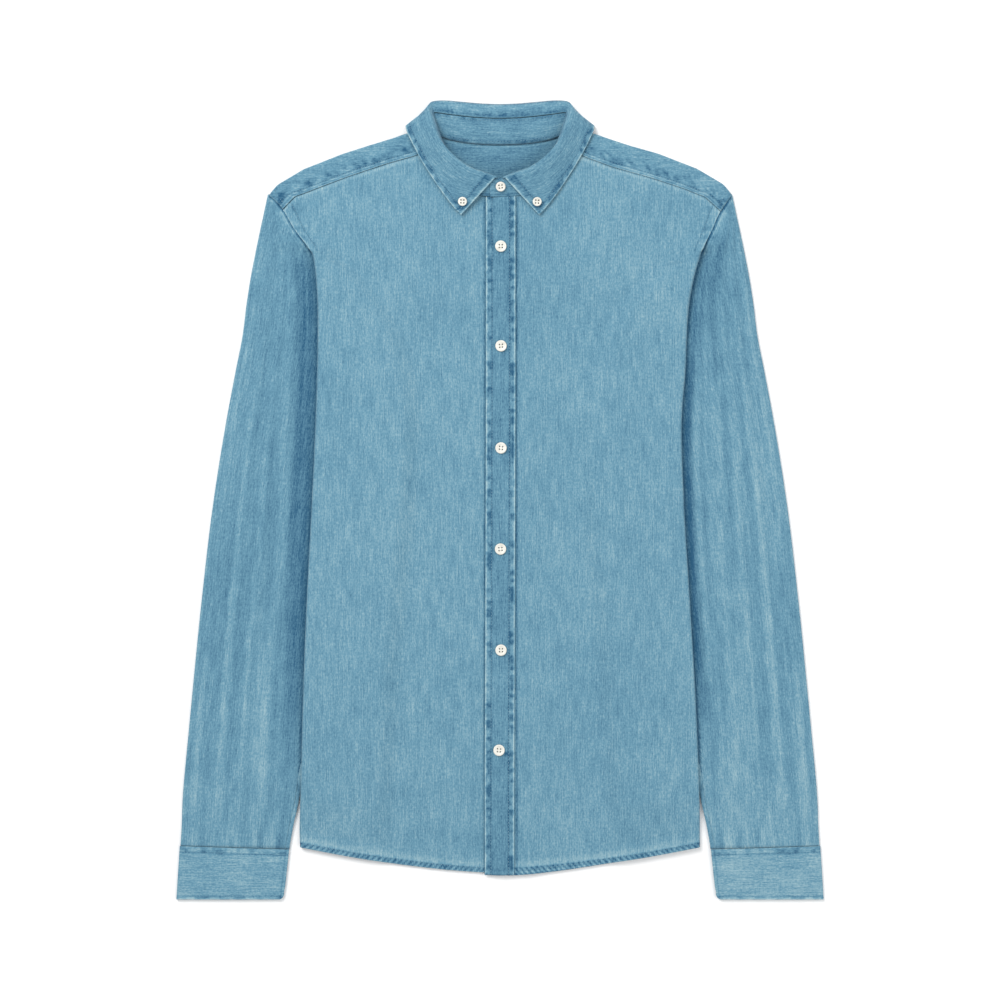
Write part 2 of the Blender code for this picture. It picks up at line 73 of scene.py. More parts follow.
# Body sections: fold edges left and right, width tucked under, lift over the sleeve.
BODY = (
    (-347.0, 200.0, 200.0, 68.0, 0.0),
    (-330.0, 200.6, 200.0, 68.0, 0.0),
    (-313.0, 200.2, 199.8, 68.0, 1.8),
    (-297.0, 199.6, 199.4, 68.0, 3.3),
    (-200.0, 197.0, 195.6, 70.0, 3.3),
    (-100.0, 193.2, 189.8, 74.0, 3.3),
    (0.0, 188.0, 183.8, 79.0, 3.3),
    (90.0, 184.0, 182.2, 79.0, 3.3),
    (130.0, 182.8, 185.4, 72.0, 3.3),
    (165.0, 182.2, 186.8, 60.0, 3.3),
    (195.0, 182.4, 189.0, 44.0, 3.3),
    (218.0, 183.6, 193.0, 26.0, 3.3),
    (236.0, 185.6, 197.6, 8.0, 3.3),
)
# Armhole: height, then its distance from the centre line on the right and on the left.
ARMHOLE = (
    (240.0, 186.2, 199.0),
    (244.0, 187.0, 200.0),
    (253.0, 192.0, 203.5),
    (265.0, 201.2, 209.4),
    (273.0, 206.8, 213.3),
    (281.0, 211.2, 216.6),
    (289.0, 215.8, 220.8),
    (297.0, 222.4, 226.0),
    (305.0, 231.0, 232.0),
)
# Shoulder fold: distance from the centre line, then its height on the right and on the left.
SHOULDER = (
    (60.0, 370.5, 370.5),
    (80.0, 369.0, 369.0),
    (94.0, 366.5, 366.5),
    (107.0, 362.0, 362.0),
    (130.0, 355.0, 354.5),
    (158.0, 346.0, 346.5),
    (196.0, 331.0, 331.5),
    (222.0, 315.5, 316.0),
    (231.0, 305.0, 305.0),
)
# Seam of yoke and front, in the same columns.
FRONT_SEAM = (
    (70.0, 349.0, 349.5),
    (88.0, 343.0, 341.5),
    (113.0, 336.0, 332.5),
    (152.0, 323.0, 321.5),
    (184.0, 311.0, 311.0),
    (205.0, 303.0, 302.5),
    (222.0, 285.3, 287.2),
)
# A front's upper rows: where each starts, its height there, and at the right or left armhole.
NECK_ROWS = (
    (14.0, 285.0, 253.0, 253.0),
    (14.0, 304.0, 259.0, 259.0),
    (33.0, 309.5, 265.0, 265.0),
    (50.0, 316.0, 273.0, 273.0),
    (63.0, 330.0, 281.0, 281.0),
    (71.5, 348.0, 291.2, 288.6),
)
# Sleeve: height, outer edge and width.
SLEEVE = (
    (-347.0, 320.0, 109.4),
    (-325.0, 318.6, 112.0),
    (-305.0, 318.0, 116.0),
    (-262.0, 314.6, 120.4),
    (-250.0, 313.4, 122.0),
    (-200.0, 308.6, 128.0),
    (-100.0, 298.6, 143.0),
    (0.0, 286.6, 158.0),
    (90.0, 272.0, 171.4),
    (130.0, 264.4, 158.0),
    (165.0, 257.6, 138.0),
    (195.0, 253.8, 117.4),
    (218.0, 250.3, 90.0),
    (236.0, 247.0, 70.0),
)
# Outer edge of the sleeve beside the armhole.
SLEEVE_TOP = ((244.0, 245.4), (253.0, 243.6), (265.0, 241.1), (273.0, 239.4), (281.0, 237.6),
              (289.0, 235.9), (297.0, 234.2), (301.5, 233.2), (305.5, 232.4))
# Collar stations: neckline seam, top of the stand, roll line, free edge of the leaf.
COLLAR = np.array((
    (0.0, 302.6, 8.6, 2.5, 320.0, 12.2, 4.0, 322.0, 15.6, 39.0, 284.6, 8.4),
    (12.0, 303.4, 8.6, 14.0, 322.0, 12.6, 16.0, 326.6, 17.4, 45.5, 291.5, 8.2),
    (25.0, 305.4, 8.4, 26.0, 326.0, 13.2, 29.0, 331.0, 18.4, 52.0, 299.5, 8.2),
    (40.0, 311.0, 8.2, 38.0, 333.0, 13.6, 42.0, 339.5, 18.8, 61.0, 312.0, 8.2),
    (53.0, 320.5, 8.0, 48.0, 342.5, 13.6, 53.0, 350.0, 18.8, 70.0, 325.5, 8.2),
    (63.0, 333.0, 7.8, 56.0, 354.0, 13.2, 61.5, 361.5, 18.2, 79.0, 340.0, 8.2),
    (70.0, 346.0, 7.4, 61.0, 366.0, 12.2, 67.0, 374.0, 17.0, 87.0, 355.0, 8.0),
    (73.0, 358.0, 6.6, 64.5, 377.0, 10.6, 70.5, 386.0, 14.6, 93.4, 369.0, 7.2),
    (71.0, 366.0, 5.2, 66.5, 384.5, 8.6, 71.5, 393.0, 10.5, 92.6, 374.4, 0.6),
    (62.0, 364.5, 3.9, 64.0, 386.5, 6.8, 67.0, 398.0, 5.6, 80.0, 362.0, 0.6),
    (50.0, 360.5, 3.4, 52.0, 385.0, 6.0, 54.0, 399.0, 4.0, 60.0, 355.5, 0.6),
    (34.0, 357.5, 3.4, 35.0, 383.0, 5.8, 36.0, 397.5, 3.8, 39.0, 351.0, 0.6),
    (17.0, 356.0, 3.4, 17.5, 381.5, 5.8, 18.0, 396.0, 3.8, 19.0, 349.0, 0.6),
    (0.0, 355.6, 3.4, 0.0, 381.0, 5.8, 0.0, 395.4, 3.8, 0.0, 348.5, 0.6),
))
TURN_YS = (ARMHOLE_Y, SEAM_Y, 248.0)


class Side(Enum):
    """The two halves of the shirt; the wearer's right lies at -X."""

    RIGHT = -1
    LEFT = 1


def smooth(value: Array | float) -> Array:
    """Ease values from 0 to 1."""
    value = np.clip(value, 0.0, 1.0)
    return value * value * (3.0 - 2.0 * value)


def hump(distance: Array | float, width: float) -> Array:
    """Bell of height 1 at zero distance."""
    return np.exp(-((np.asarray(distance) / width) ** 2))


def read(table: Sequence[Sequence[float]], key: Array | float, column: int) -> Array:
    """Read a column of a table between its rows.

    Args:
        table: rows in rising order of their first column.
        key: where to read, in the first column's unit.
        column: which column to read.

    Returns:
        The values at the keys.
    """
    rows = np.asarray([row[:3] if column < 3 else row for row in table], dtype=float)
    return np.interp(key, rows[:, 0], rows[:, column])


def read_soft(table: Sequence[Sequence[float]], key: Array | float, column: int) -> Array:
    """Read a column of a table along a smooth curve through its rows.

    Args:
        table: rows in rising order of their first column.
        key: where to read, held within the table.
        column: which column to read.

    Returns:
        The values at the keys.
    """
    rows = np.asarray([row[:3] for row in table], dtype=float)
    xs, ys = rows[:, 0], rows[:, column]
    tangent = np.gradient(ys, xs)
    key = np.clip(np.asarray(key, dtype=float), xs[0], xs[-1])
    base = np.clip(np.searchsorted(xs, key, side="right") - 1, 0, len(xs) - 2)
    span = xs[base + 1] - xs[base]
    part = (key - xs[base]) / span
    square, cube = part ** 2, part ** 3
    return ((2 * cube - 3 * square + 1) * ys[base] + (cube - 2 * square + part) * span
            * tangent[base] + (3 * square - 2 * cube) * ys[base + 1]
            + (cube - square) * span * tangent[base + 1])


def contour(points: Array, field_: Array, value: float, axis: int) -> Array:
    """Points of a grid where a field passes a value, one for each line of the grid.

    Args:
        points: the grid's points.
        field_: the field at each point.
        value: the value to find.
        axis: the grid's axis to search along.

    Returns:
        The points found, in the order of the lines.
    """
    if axis == 1:
        points, field_ = points.transpose(1, 0, 2), field_.T
    found = []
    for line, values in zip(points.transpose(1, 0, 2), field_.T):
        signs = (values - value) > 0
        crossings = np.nonzero(signs[1:] != signs[:-1])[0]
        if len(crossings):
            k = crossings[0]
            part = (value - values[k]) / (values[k + 1] - values[k])
            found.append(line[k] * (1 - part) + line[k + 1] * part)
    return np.array(found)


class Rumple:
    """Smooth noise on a seeded lattice, the same in every run."""

    def __init__(self, seed: int) -> None:
        """Fill the lattice."""
        self.lattice = np.random.default_rng(seed).uniform(-1.0, 1.0, (128, 128))

    def at(self, x: Array, y: Array, cell_x: float, cell_y: float) -> Array:
        """Value between -1 and 1 at positions in millimetres.

        Args:
            x: positions across.
            y: positions along.
            cell_x: size of a lattice cell across.
            cell_y: size of a lattice cell along.

        Returns:
            The noise at each position.
        """
        gx, gy = np.asarray(x) / cell_x + 400.0, np.asarray(y) / cell_y + 400.0
        ix, iy = np.floor(gx).astype(int), np.floor(gy).astype(int)
        fx, fy = smooth(gx - ix), smooth(gy - iy)
        lat = self.lattice
        low = lat[ix % 128, iy % 128] * (1 - fx) + lat[(ix + 1) % 128, iy % 128] * fx
        high = lat[ix % 128, (iy + 1) % 128] * (1 - fx) + lat[(ix + 1) % 128, (iy + 1) % 128] * fx
        return low * (1 - fy) + high * fy


NOISE = Rumple(7)
SPOTS = Rumple(23)


@dataclass(frozen=True)
class Crease:
    """A soft trough or ridge along a line, fading at its ends."""

    x0: float
    y0: float
    x1: float
    y1: float
    width: float
    height: float

    def relief(self, x: Array, y: Array) -> Array:
        """Height added at a place.

        Args:
            x: distances across the shirt.
            y: distances up the shirt.

        Returns:
            Heights in millimetres.
        """
        run = np.array((self.x1 - self.x0, self.y1 - self.y0))
        length = float(np.hypot(*run))
        along = ((x - self.x0) * run[0] + (y - self.y0) * run[1]) / length ** 2
        away = ((x - self.x0) * run[1] - (y - self.y0) * run[0]) / length
        ends = smooth(along / 0.25) * smooth((1.0 - along) / 0.25)
        bend = self.width * 0.35 * NOISE.at(along * length, away * 0.0, 40.0, 40.0)
        return self.height * hump(away + bend, self.width) * ends


@dataclass(frozen=True)
class StitchedEdge:
    """Relief and wash of a turned, topstitched edge, by distance from the edge."""

    band: float = 8.0
    rise: float = 0.35
    lines: tuple[float, ...] = (6.5,)
    pucker: float = 0.35
    dark: float = 0.9
    light: float = 0.5
    pitch: float = 8.5
    seed: float = 0.0

    def spots(self, along: Array, away: Array) -> Array:
        """Uneven puckers along the seam.

        Args:
            along: distance along the edge.
            away: distance from the edge.

        Returns:
            Their strength, from 0 to 1.
        """
        drift = along + self.seed * 37.0
        base = SPOTS.at(drift, away + self.seed * 11.0, self.pitch * 0.55, 6.0)
        fine = SPOTS.at(drift + 91.0, away + 7.0, self.pitch * 0.3, 3.0)
        return np.clip(0.36 + 1.15 * base + 0.45 * fine, 0.0, 1.0)

    def shape(self, away: Array, along: Array) -> tuple[Array, Array]:
        """Relief and wash near the edge.

        Args:
            away: distance from the edge, in millimetres.
            along: distance along the edge.

        Returns:
            Height in millimetres, and wash, where less than 0 is darker.
        """
        inside = 1.0 - smooth((away - self.band) / 1.6)
        spots = self.spots(along, away)
        height = self.rise * inside
        wash = np.zeros_like(height)
        middle = hump(away - self.band * 0.5, self.band * 0.52)
        height = height + self.pucker * (spots - 0.5) * middle
        wash = wash + middle * (self.light * (0.4 - spots) * 0.7 - self.dark * 0.52 * spots)
        for line in self.lines:
            groove = hump(away - line, 0.75)
            height = height - 0.3 * groove
            wash = wash - self.dark * 0.75 * groove
        wash = wash + self.light * 1.3 * hump(away - 0.4, 0.8)
        return height, wash


class Lay:
    """How the body lies: fold edges, layers and their heights."""

    TURN_RUN = 13.0
    STRIP_END, STRIP_RUN = 248.0, 17.0
    SLOPE_IN, SLOPE_RUN = 30.0, 26.0
    AIR, AIR_FROM, AIR_RUN = 2.0, 170.0, 55.0
    NECK, NECK_Y, NECK_WIDE, NECK_LONG = 2.5, 335.0, 95.0, 45.0
    LEAF_Y, LEAF_RUN, LEAF_X, LEAF_SIDE = 322.0, 22.0, 96.0, 16.0
    HEM_DIP, HEM_HALF, HEM_CURVE, HEM_TURNED, HEM_RUN = 26.0, 200.0, 1.6, 0.16, 130.0

    @staticmethod
    def edge(side: Side, y: Array | float) -> Array:
        """Distance of the fold edge or armhole from the centre line."""
        column = 1 if side is Side.RIGHT else 2
        return read_soft(tuple(row[:3] for row in BODY) + ARMHOLE, y, column)

    @staticmethod
    def by_side(table: Sequence[Sequence[float]], side: Side, key: Array | float) -> Array:
        """Read a table that lists the wearer's right first."""
        return read(table, key, 1 if side is Side.RIGHT else 2)

    @staticmethod
    def tuck(y: Array | float) -> Array:
        """Width folded under."""
        rows = np.asarray(BODY)
        return np.where(np.asarray(y) <= UNDERARM_Y, np.interp(y, rows[:, 0], rows[:, 3]), 0.0)

    @classmethod
    def turn(cls, y: Array | float) -> Array:
        """Angle the panel's edge has turned under."""
        return math.pi * (1.0 - smooth((np.asarray(y) - ARMHOLE_Y) / cls.TURN_RUN))

    @classmethod
    def folded(cls, y: Array | float) -> Array:
        """Share of the folded strip that is left at a height."""
        return 1.0 - smooth((np.asarray(y) - cls.STRIP_END) / cls.STRIP_RUN)

    @classmethod
    def lift(cls, y: Array | float) -> Array:
        """Height of the folded strip above the surface."""
        rows = np.asarray(BODY)
        return np.interp(y, rows[:, 0], rows[:, 4]) * cls.folded(y)

    @classmethod
    def rise(cls, side: Side, x: Array, y: Array) -> Array:
        """Rise of the back over the strip and the sleeve."""
        start = cls.edge(side, y) - cls.tuck(y) - cls.SLOPE_IN
        over = cls.lift(y) + 2.0 * LAYER * cls.folded(y)
        return over * smooth((np.abs(x) - start) / cls.SLOPE_RUN)

    @classmethod
    def back(cls, side: Side, x: Array, y: Array) -> Array:
        """Height of the back's middle, which rises over the leaf behind the neck."""
        over = LAYER * smooth((np.asarray(y) - cls.LEAF_Y) / cls.LEAF_RUN)
        over = over * (1.0 - smooth((np.abs(x) - cls.LEAF_X) / cls.LEAF_SIDE))
        return FLOOR + cls.rise(side, x, y) + over

    @classmethod
    def air(cls, y: Array | float) -> Array:
        """Air between front and back near the shoulders."""
        return cls.AIR * smooth((np.asarray(y) - cls.AIR_FROM) / cls.AIR_RUN)

    @classmethod
    def front(cls, side: Side, x: Array, y: Array) -> Array:
        """Height of the fronts' middle, highest round the neck."""
        across, along = np.asarray(x) / cls.NECK_WIDE, (np.asarray(y) - cls.NECK_Y) / cls.NECK_LONG
        neck = cls.NECK * np.exp(-(across ** 2 + along ** 2))
        return FLOOR + cls.rise(side, x, y) + LAYER + cls.air(y) + neck

    @classmethod
    def hem(cls, s: Array | float) -> Array:
        """Dip of the hem by distance from the centre line."""
        s = np.abs(np.asarray(s, dtype=float))
        dip = cls.HEM_DIP * (1.0 - np.minimum(s / cls.HEM_HALF, 1.0) ** cls.HEM_CURVE)
        return np.where(s > cls.HEM_HALF, -cls.HEM_TURNED * (s - cls.HEM_HALF), dip)

    @classmethod
    def hem_weight(cls, y: Array | float) -> Array:
        """Share of the hem's dip at a row."""
        return 1.0 - smooth((np.asarray(y) - HEM_Y) / cls.HEM_RUN)


@dataclass
class Sheet:
    """Points, cloth coordinates, and wash with painted light and shade, of one cut, row by row."""

    points: Array
    cloth: Array
    wash: Array
    seams: list[Array] = field(default_factory=list)


@dataclass(frozen=True)
class Stitching:
    """Topstitch thread: short raised stitches along a seam."""

    pitch: float = 3.0
    length: float = 2.3
    width: float = 0.62
    height: float = 0.3
    above: float = 0.62

    def along(self, line: Array) -> Array:
        """Stitches along one line.

        Args:
            line: points of the seam.

        Returns:
            Six points for each stitch: its near end, four round its middle, and its far end.
        """
        reach = np.concatenate(([0.0], np.cumsum(np.linalg.norm(np.diff(line, axis=0), axis=1))))
        count = max(1, int(reach[-1] / self.pitch))
        mids = (np.arange(count) + 0.5) * reach[-1] / count
        spot = np.stack([np.interp(mids, reach, line[:, k]) for k in range(3)], axis=-1)
        ahead = np.stack([np.interp(mids + 0.6, reach, line[:, k]) for k in range(3)], axis=-1)
        behind = np.stack([np.interp(mids - 0.6, reach, line[:, k]) for k in range(3)], axis=-1)
        run = ahead - behind
        run /= np.maximum(np.linalg.norm(run, axis=1), 1e-9)[:, None]
        across = np.cross(np.broadcast_to((0.0, 0.0, 1.0), run.shape), run)
        across /= np.maximum(np.linalg.norm(across, axis=1), 1e-9)[:, None]
        up = np.cross(run, across)
        spot = spot + up * self.above
        half = self.length / 2
        ring = [across * self.width / 2, up * self.height, -across * self.width / 2,
                -up * self.height]
        corners = [spot - run * half - up * 0.1] + [spot + r for r in ring]
        corners.append(spot + run * half - up * 0.1)
        return np.stack(corners, axis=1)

    def sew(self, name: str, lines: Sequence[Array],
            finish: bpy.types.Material) -> bpy.types.Object:
        """Sew every line of one piece.

        Args:
            name: the stitching's name.
            lines: its seams.
            finish: the thread's material.

        Returns:
            One object with all the stitches.
        """
        corners = np.concatenate([self.along(line) for line in lines if len(line) > 1])
        pattern = np.array([(0, 2, 1), (0, 3, 2), (0, 4, 3), (0, 1, 4),
                            (5, 1, 2), (5, 2, 3), (5, 3, 4), (5, 4, 1)])
        faces = (np.arange(len(corners))[:, None, None] * 6 + pattern).reshape(-1, 3)
        mesh = bpy.data.meshes.new(name)
        mesh.from_pydata((corners.reshape(-1, 3) * MM).tolist(), [], faces.tolist())
        mesh.shade_smooth()
        mesh.materials.append(finish)
        made = bpy.data.objects.new(name, mesh)
        bpy.context.scene.collection.objects.link(made)
        return made


def deselect_all() -> None:
    """Clear the selection left by earlier steps."""
    if bpy.context.object and bpy.context.object.mode != "OBJECT":
        bpy.ops.object.mode_set(mode="OBJECT")
    bpy.ops.object.select_all(action="DESELECT")


def apply_modifiers(piece: bpy.types.Object) -> None:
    """Apply every modifier of a piece in order.

    Args:
        piece: the piece, changed in place.
    """
    deselect_all()
    bpy.context.view_layer.objects.active = piece
    piece.select_set(True)
    for modifier in list(piece.modifiers):
        bpy.ops.object.modifier_apply(modifier=modifier.name)
    piece.select_set(False)


def sheet_object(name: str, sheet: Sheet, finish: bpy.types.Material,
                 thickness: float = CLOTH) -> bpy.types.Object:
    """Make a sheet of cloth with its thickness, cloth coordinates, and wash with painted light and
    shade.

    Args:
        name: the piece's name.
        sheet: its points, coordinates, and wash with painted light and shade.
        finish: its material.
        thickness: wall in millimetres.

    Returns:
        The finished object.
    """
    rows, columns = sheet.wash.shape
    index = np.arange(rows * columns).reshape(rows, columns)
    quads = np.stack((index[:-1, :-1], index[:-1, 1:], index[1:, 1:], index[1:, :-1]), axis=-1)
    mesh = bpy.data.meshes.new(name)
    mesh.from_pydata((sheet.points.reshape(-1, 3) * MM).tolist(), [], quads.reshape(-1, 4).tolist())
    grid = mesh.uv_layers.new(name="cloth")
    loops = np.empty(len(mesh.loops), dtype=np.int32)
    mesh.loops.foreach_get("vertex_index", loops)
    grid.data.foreach_set("uv", (sheet.cloth.reshape(-1, 2)[loops] * MM).ravel())
    # The wash attribute holds the cloth's wash together with painted light and shade.
    wash = mesh.attributes.new("wash", "FLOAT", "POINT")
    wash.data.foreach_set("value", sheet.wash.astype(np.float32).ravel())
    made = bpy.data.objects.new(name, mesh)
    bpy.context.scene.collection.objects.link(made)
    wall = made.modifiers.new("wall", "SOLIDIFY")
    wall.thickness, wall.offset = thickness * MM, 0.0
    apply_modifiers(made)
    made.data.shade_smooth()
    made.data.materials.clear()
    made.data.materials.append(finish)
    return made


def steps(stops: Sequence[float], spacing: Sequence[float]) -> Array:
    """Positions from stop to stop, each stretch at its own spacing.

    Args:
        stops: where the stretches begin and end.
        spacing: the spacing to come near in each stretch.

    Returns:
        The positions, stops included.
    """
    out = [stops[0]]
    for low, high, gap in zip(stops, stops[1:], spacing):
        count = max(1, round(abs(high - low) / gap))
        out += list(low + (high - low) * (np.arange(count) + 1) / count)
    return np.array(out)


class NodeShop:
    """Short ways to add and join shader nodes."""

    def __init__(self, tree: bpy.types.NodeTree) -> None:
        """Work in one node tree."""
        self.tree = tree

    def add(self, kind: str, **settings: object) -> bpy.types.Node:
        """Add a node and set its properties.

        Args:
            kind: the node's type.
            **settings: its properties and their values.

        Returns:
            The node.
        """
        node = self.tree.nodes.new(kind)
        for key, value in settings.items():
            setattr(node, key, value)
        return node

    def join(self, source: bpy.types.NodeSocket, target: bpy.types.NodeSocket) -> None:
        """Join two sockets."""
        self.tree.links.new(source, target)

    def math(self, operation: str, first: object, second: object = None) -> bpy.types.NodeSocket:
        """Add a Math node.

        Args:
            operation: the Math node's operation.
            first: a socket or number.
            second: a socket or number, where the operation takes two.

        Returns:
            The result's socket.
        """
        node = self.add("ShaderNodeMath", operation=operation)
        for slot, value in zip(node.inputs, (first, second)):
            if value is None:
                continue
            if isinstance(value, (int, float)):
                slot.default_value = value
            else:
                self.join(value, slot)
        return node.outputs[0]

    def swing(self, value: bpy.types.NodeSocket, strength: float) -> bpy.types.NodeSocket:
        """A noise's swing about its middle, at a strength."""
        return self.math("MULTIPLY", self.math("SUBTRACT", value, 0.5), strength)

    def ramp(self, value: bpy.types.NodeSocket,
             stops: Sequence[tuple[float, tuple[float, float, float]]]) -> bpy.types.NodeSocket:
        """Colour ramp.

        Args:
            value: what runs along the ramp.
            stops: the position and colour of its first and last stop, and of any between.

        Returns:
            The colour's socket.
        """
        node = self.add("ShaderNodeValToRGB")
        for element, (position, colour) in zip(node.color_ramp.elements, stops[:2]):
            element.position, element.color = position, (*colour, 1.0)
        for position, colour in stops[2:]:
            node.color_ramp.elements.new(position).color = (*colour, 1.0)
        self.join(value, node.inputs["Fac"])
        return node.outputs["Color"]

    def noise(self, vector: bpy.types.NodeSocket, stretch: tuple[float, float],
              detail: float) -> bpy.types.NodeSocket:
        """Noise over the cloth, stretched along and across the grain.

        Args:
            vector: cloth coordinates in metres.
            stretch: cells per metre across and along the warp.
            detail: octaves.

        Returns:
            The noise's value, around 0.5.
        """
        mapping = self.add("ShaderNodeMapping")
        mapping.inputs["Scale"].default_value = (stretch[0], stretch[1], 1.0)
        self.join(vector, mapping.inputs["Vector"])
        noise = self.add("ShaderNodeTexNoise", noise_dimensions="2D")
        noise.inputs["Scale"].default_value = 1.0
        noise.inputs["Detail"].default_value = detail
        noise.inputs["Roughness"].default_value = 0.6
        self.join(mapping.outputs["Vector"], noise.inputs["Vector"])
        return noise.outputs["Fac"]


def denim_weave_group() -> bpy.types.NodeTree:
    """The shared weave: streaked yarns, a fine twill and cloudy wash.

    Returns:
        A group giving a tone around 0 and a height.
    """
    group = bpy.data.node_groups.new("denim_weave", "ShaderNodeTree")
    face = group.interface
    face.new_socket("Cloth", in_out="INPUT", socket_type="NodeSocketVector")
    for name, value in (("Streaks", 1.0), ("Clouds", 1.0)):
        socket = face.new_socket(name, in_out="INPUT", socket_type="NodeSocketFloat")
        socket.default_value = value
    face.new_socket("Tone", in_out="OUTPUT", socket_type="NodeSocketFloat")
    face.new_socket("Height", in_out="OUTPUT", socket_type="NodeSocketFloat")
    shop = NodeShop(group)
    start, end = shop.add("NodeGroupInput"), shop.add("NodeGroupOutput")
    cloth = start.outputs["Cloth"]
    warp = shop.noise(cloth, (760.0, 46.0), 3.0)
    fleck = shop.noise(cloth, (950.0, 330.0), 2.0)
    weft = shop.noise(cloth, (150.0, 1300.0), 2.0)
    cloud = shop.noise(cloth, (13.0, 7.0), 4.0)
    blotch = shop.noise(cloth, (95.0, 36.0), 3.0)
    streak = shop.math("ADD", shop.swing(warp, 1.0), shop.swing(fleck, 1.15))
    streak = shop.math("ADD", streak, shop.swing(weft, 0.45))
    streak = shop.math("MULTIPLY", streak, start.outputs["Streaks"])
    clouds = shop.math("ADD", shop.swing(cloud, 0.38), shop.swing(blotch, 0.5))
    clouds = shop.math("MULTIPLY", clouds, start.outputs["Clouds"])
    shop.join(shop.math("ADD", streak, clouds), end.inputs["Tone"])
    twill = shop.add("ShaderNodeTexWave", wave_type="BANDS", bands_direction="DIAGONAL")
    twill.inputs["Scale"].default_value = 420.0
    twill.inputs["Distortion"].default_value = 0.6
    shop.join(cloth, twill.inputs["Vector"])
    height = shop.math("ADD", shop.math("MULTIPLY", twill.outputs["Fac"], 0.35),
                       shop.math("MULTIPLY", warp, 0.9))
    shop.join(height, end.inputs["Height"])
    return group


@dataclass(frozen=True)
class DenimFinish:
    """Washed denim: the mean colour, its darker end for deep dye and painted shade, and its light
    end for worn cloth and painted light.
    """

    name: str
    mid: tuple[float, float, float] = (0.117, 0.266, 0.362)
    deep: tuple[float, float, float] = (0.014, 0.084, 0.166)
    worn: tuple[float, float, float] = (0.365, 0.515, 0.545)
    streaks: float = 1.0
    clouds: float = 1.0
    shift: float = 0.0
    weave_share: float = 0.52
    wash_share: float = 0.34
    bump: float = 0.35
    bump_depth: float = 0.35
    roughness: float = 0.92
    specular: float = 0.2
    sheen: float = 0.12
    sheen_roughness: float = 0.6

    def material(self, weave: bpy.types.NodeTree) -> bpy.types.Material:
        """Build the finish.

        Args:
            weave: the shared weave group.

        Returns:
            The material.
        """
        made = bpy.data.materials.new(self.name)
        made.use_nodes = True
        shop = NodeShop(made.node_tree)
        shader = made.node_tree.nodes["Principled BSDF"]
        cloth = shop.add("ShaderNodeUVMap", uv_map="cloth").outputs["UV"]
        group = shop.add("ShaderNodeGroup", node_tree=weave)
        group.inputs["Streaks"].default_value = self.streaks
        group.inputs["Clouds"].default_value = self.clouds
        shop.join(cloth, group.inputs["Cloth"])
        # The wash attribute mixes the cloth's wash with painted light and shade, so the ramp's dark
        # end also gives painted shade and its light end painted light.
        wash = shop.add("ShaderNodeAttribute", attribute_name="wash").outputs["Fac"]
        tone = shop.math("ADD", shop.math("MULTIPLY", group.outputs["Tone"], self.weave_share),
                         shop.math("MULTIPLY", wash, self.wash_share))
        tone = shop.math("ADD", tone, 0.5 + self.shift)
        dye_light_and_shade = shop.ramp(tone, ((0.0, self.deep), (1.0, self.worn), (0.5, self.mid)))
        shop.join(dye_light_and_shade, shader.inputs["Base Color"])
        bump = shop.add("ShaderNodeBump")
        bump.inputs["Strength"].default_value = self.bump
        bump.inputs["Distance"].default_value = self.bump_depth * MM
        shop.join(group.outputs["Height"], bump.inputs["Height"])
        shop.join(bump.outputs["Normal"], shader.inputs["Normal"])
        shader.inputs["Roughness"].default_value = self.roughness
        shader.inputs["Specular IOR Level"].default_value = self.specular
        shader.inputs["Sheen Weight"].default_value = self.sheen
        shader.inputs["Sheen Roughness"].default_value = self.sheen_roughness
        return made


@dataclass(frozen=True)
class ButtonFinish:
    """Matt pearl-white button shell, or its thread."""

    name: str
    light: tuple[float, float, float] = (0.80, 0.79, 0.73)
    dark: tuple[float, float, float] = (0.66, 0.64, 0.57)
    roughness: float = 0.38
    grain: float = 240.0
    detail: float = 3.0

    def material(self) -> bpy.types.Material:
        """Build the finish.

        Returns:
            The material.
        """
        made = bpy.data.materials.new(self.name)
        made.use_nodes = True
        shop = NodeShop(made.node_tree)
        shader = made.node_tree.nodes["Principled BSDF"]
        place = shop.add("ShaderNodeTexCoord").outputs["Object"]
        noise = shop.add("ShaderNodeTexNoise")
        noise.inputs["Scale"].default_value = self.grain
        noise.inputs["Detail"].default_value = self.detail
        shop.join(place, noise.inputs["Vector"])
        colour = shop.ramp(noise.outputs["Fac"], ((0.3, self.dark), (0.7, self.light)))
        shop.join(colour, shader.inputs["Base Color"])
        shader.inputs["Roughness"].default_value = self.roughness
        return made


@dataclass
class Line:
    """A front's line while it is shaped: place, cloth distance, wash with painted shadow, and share
    of relief.
    """

    x: Array
    y: Array
    z: Array
    s: Array
    tone: Array
    fold: Array


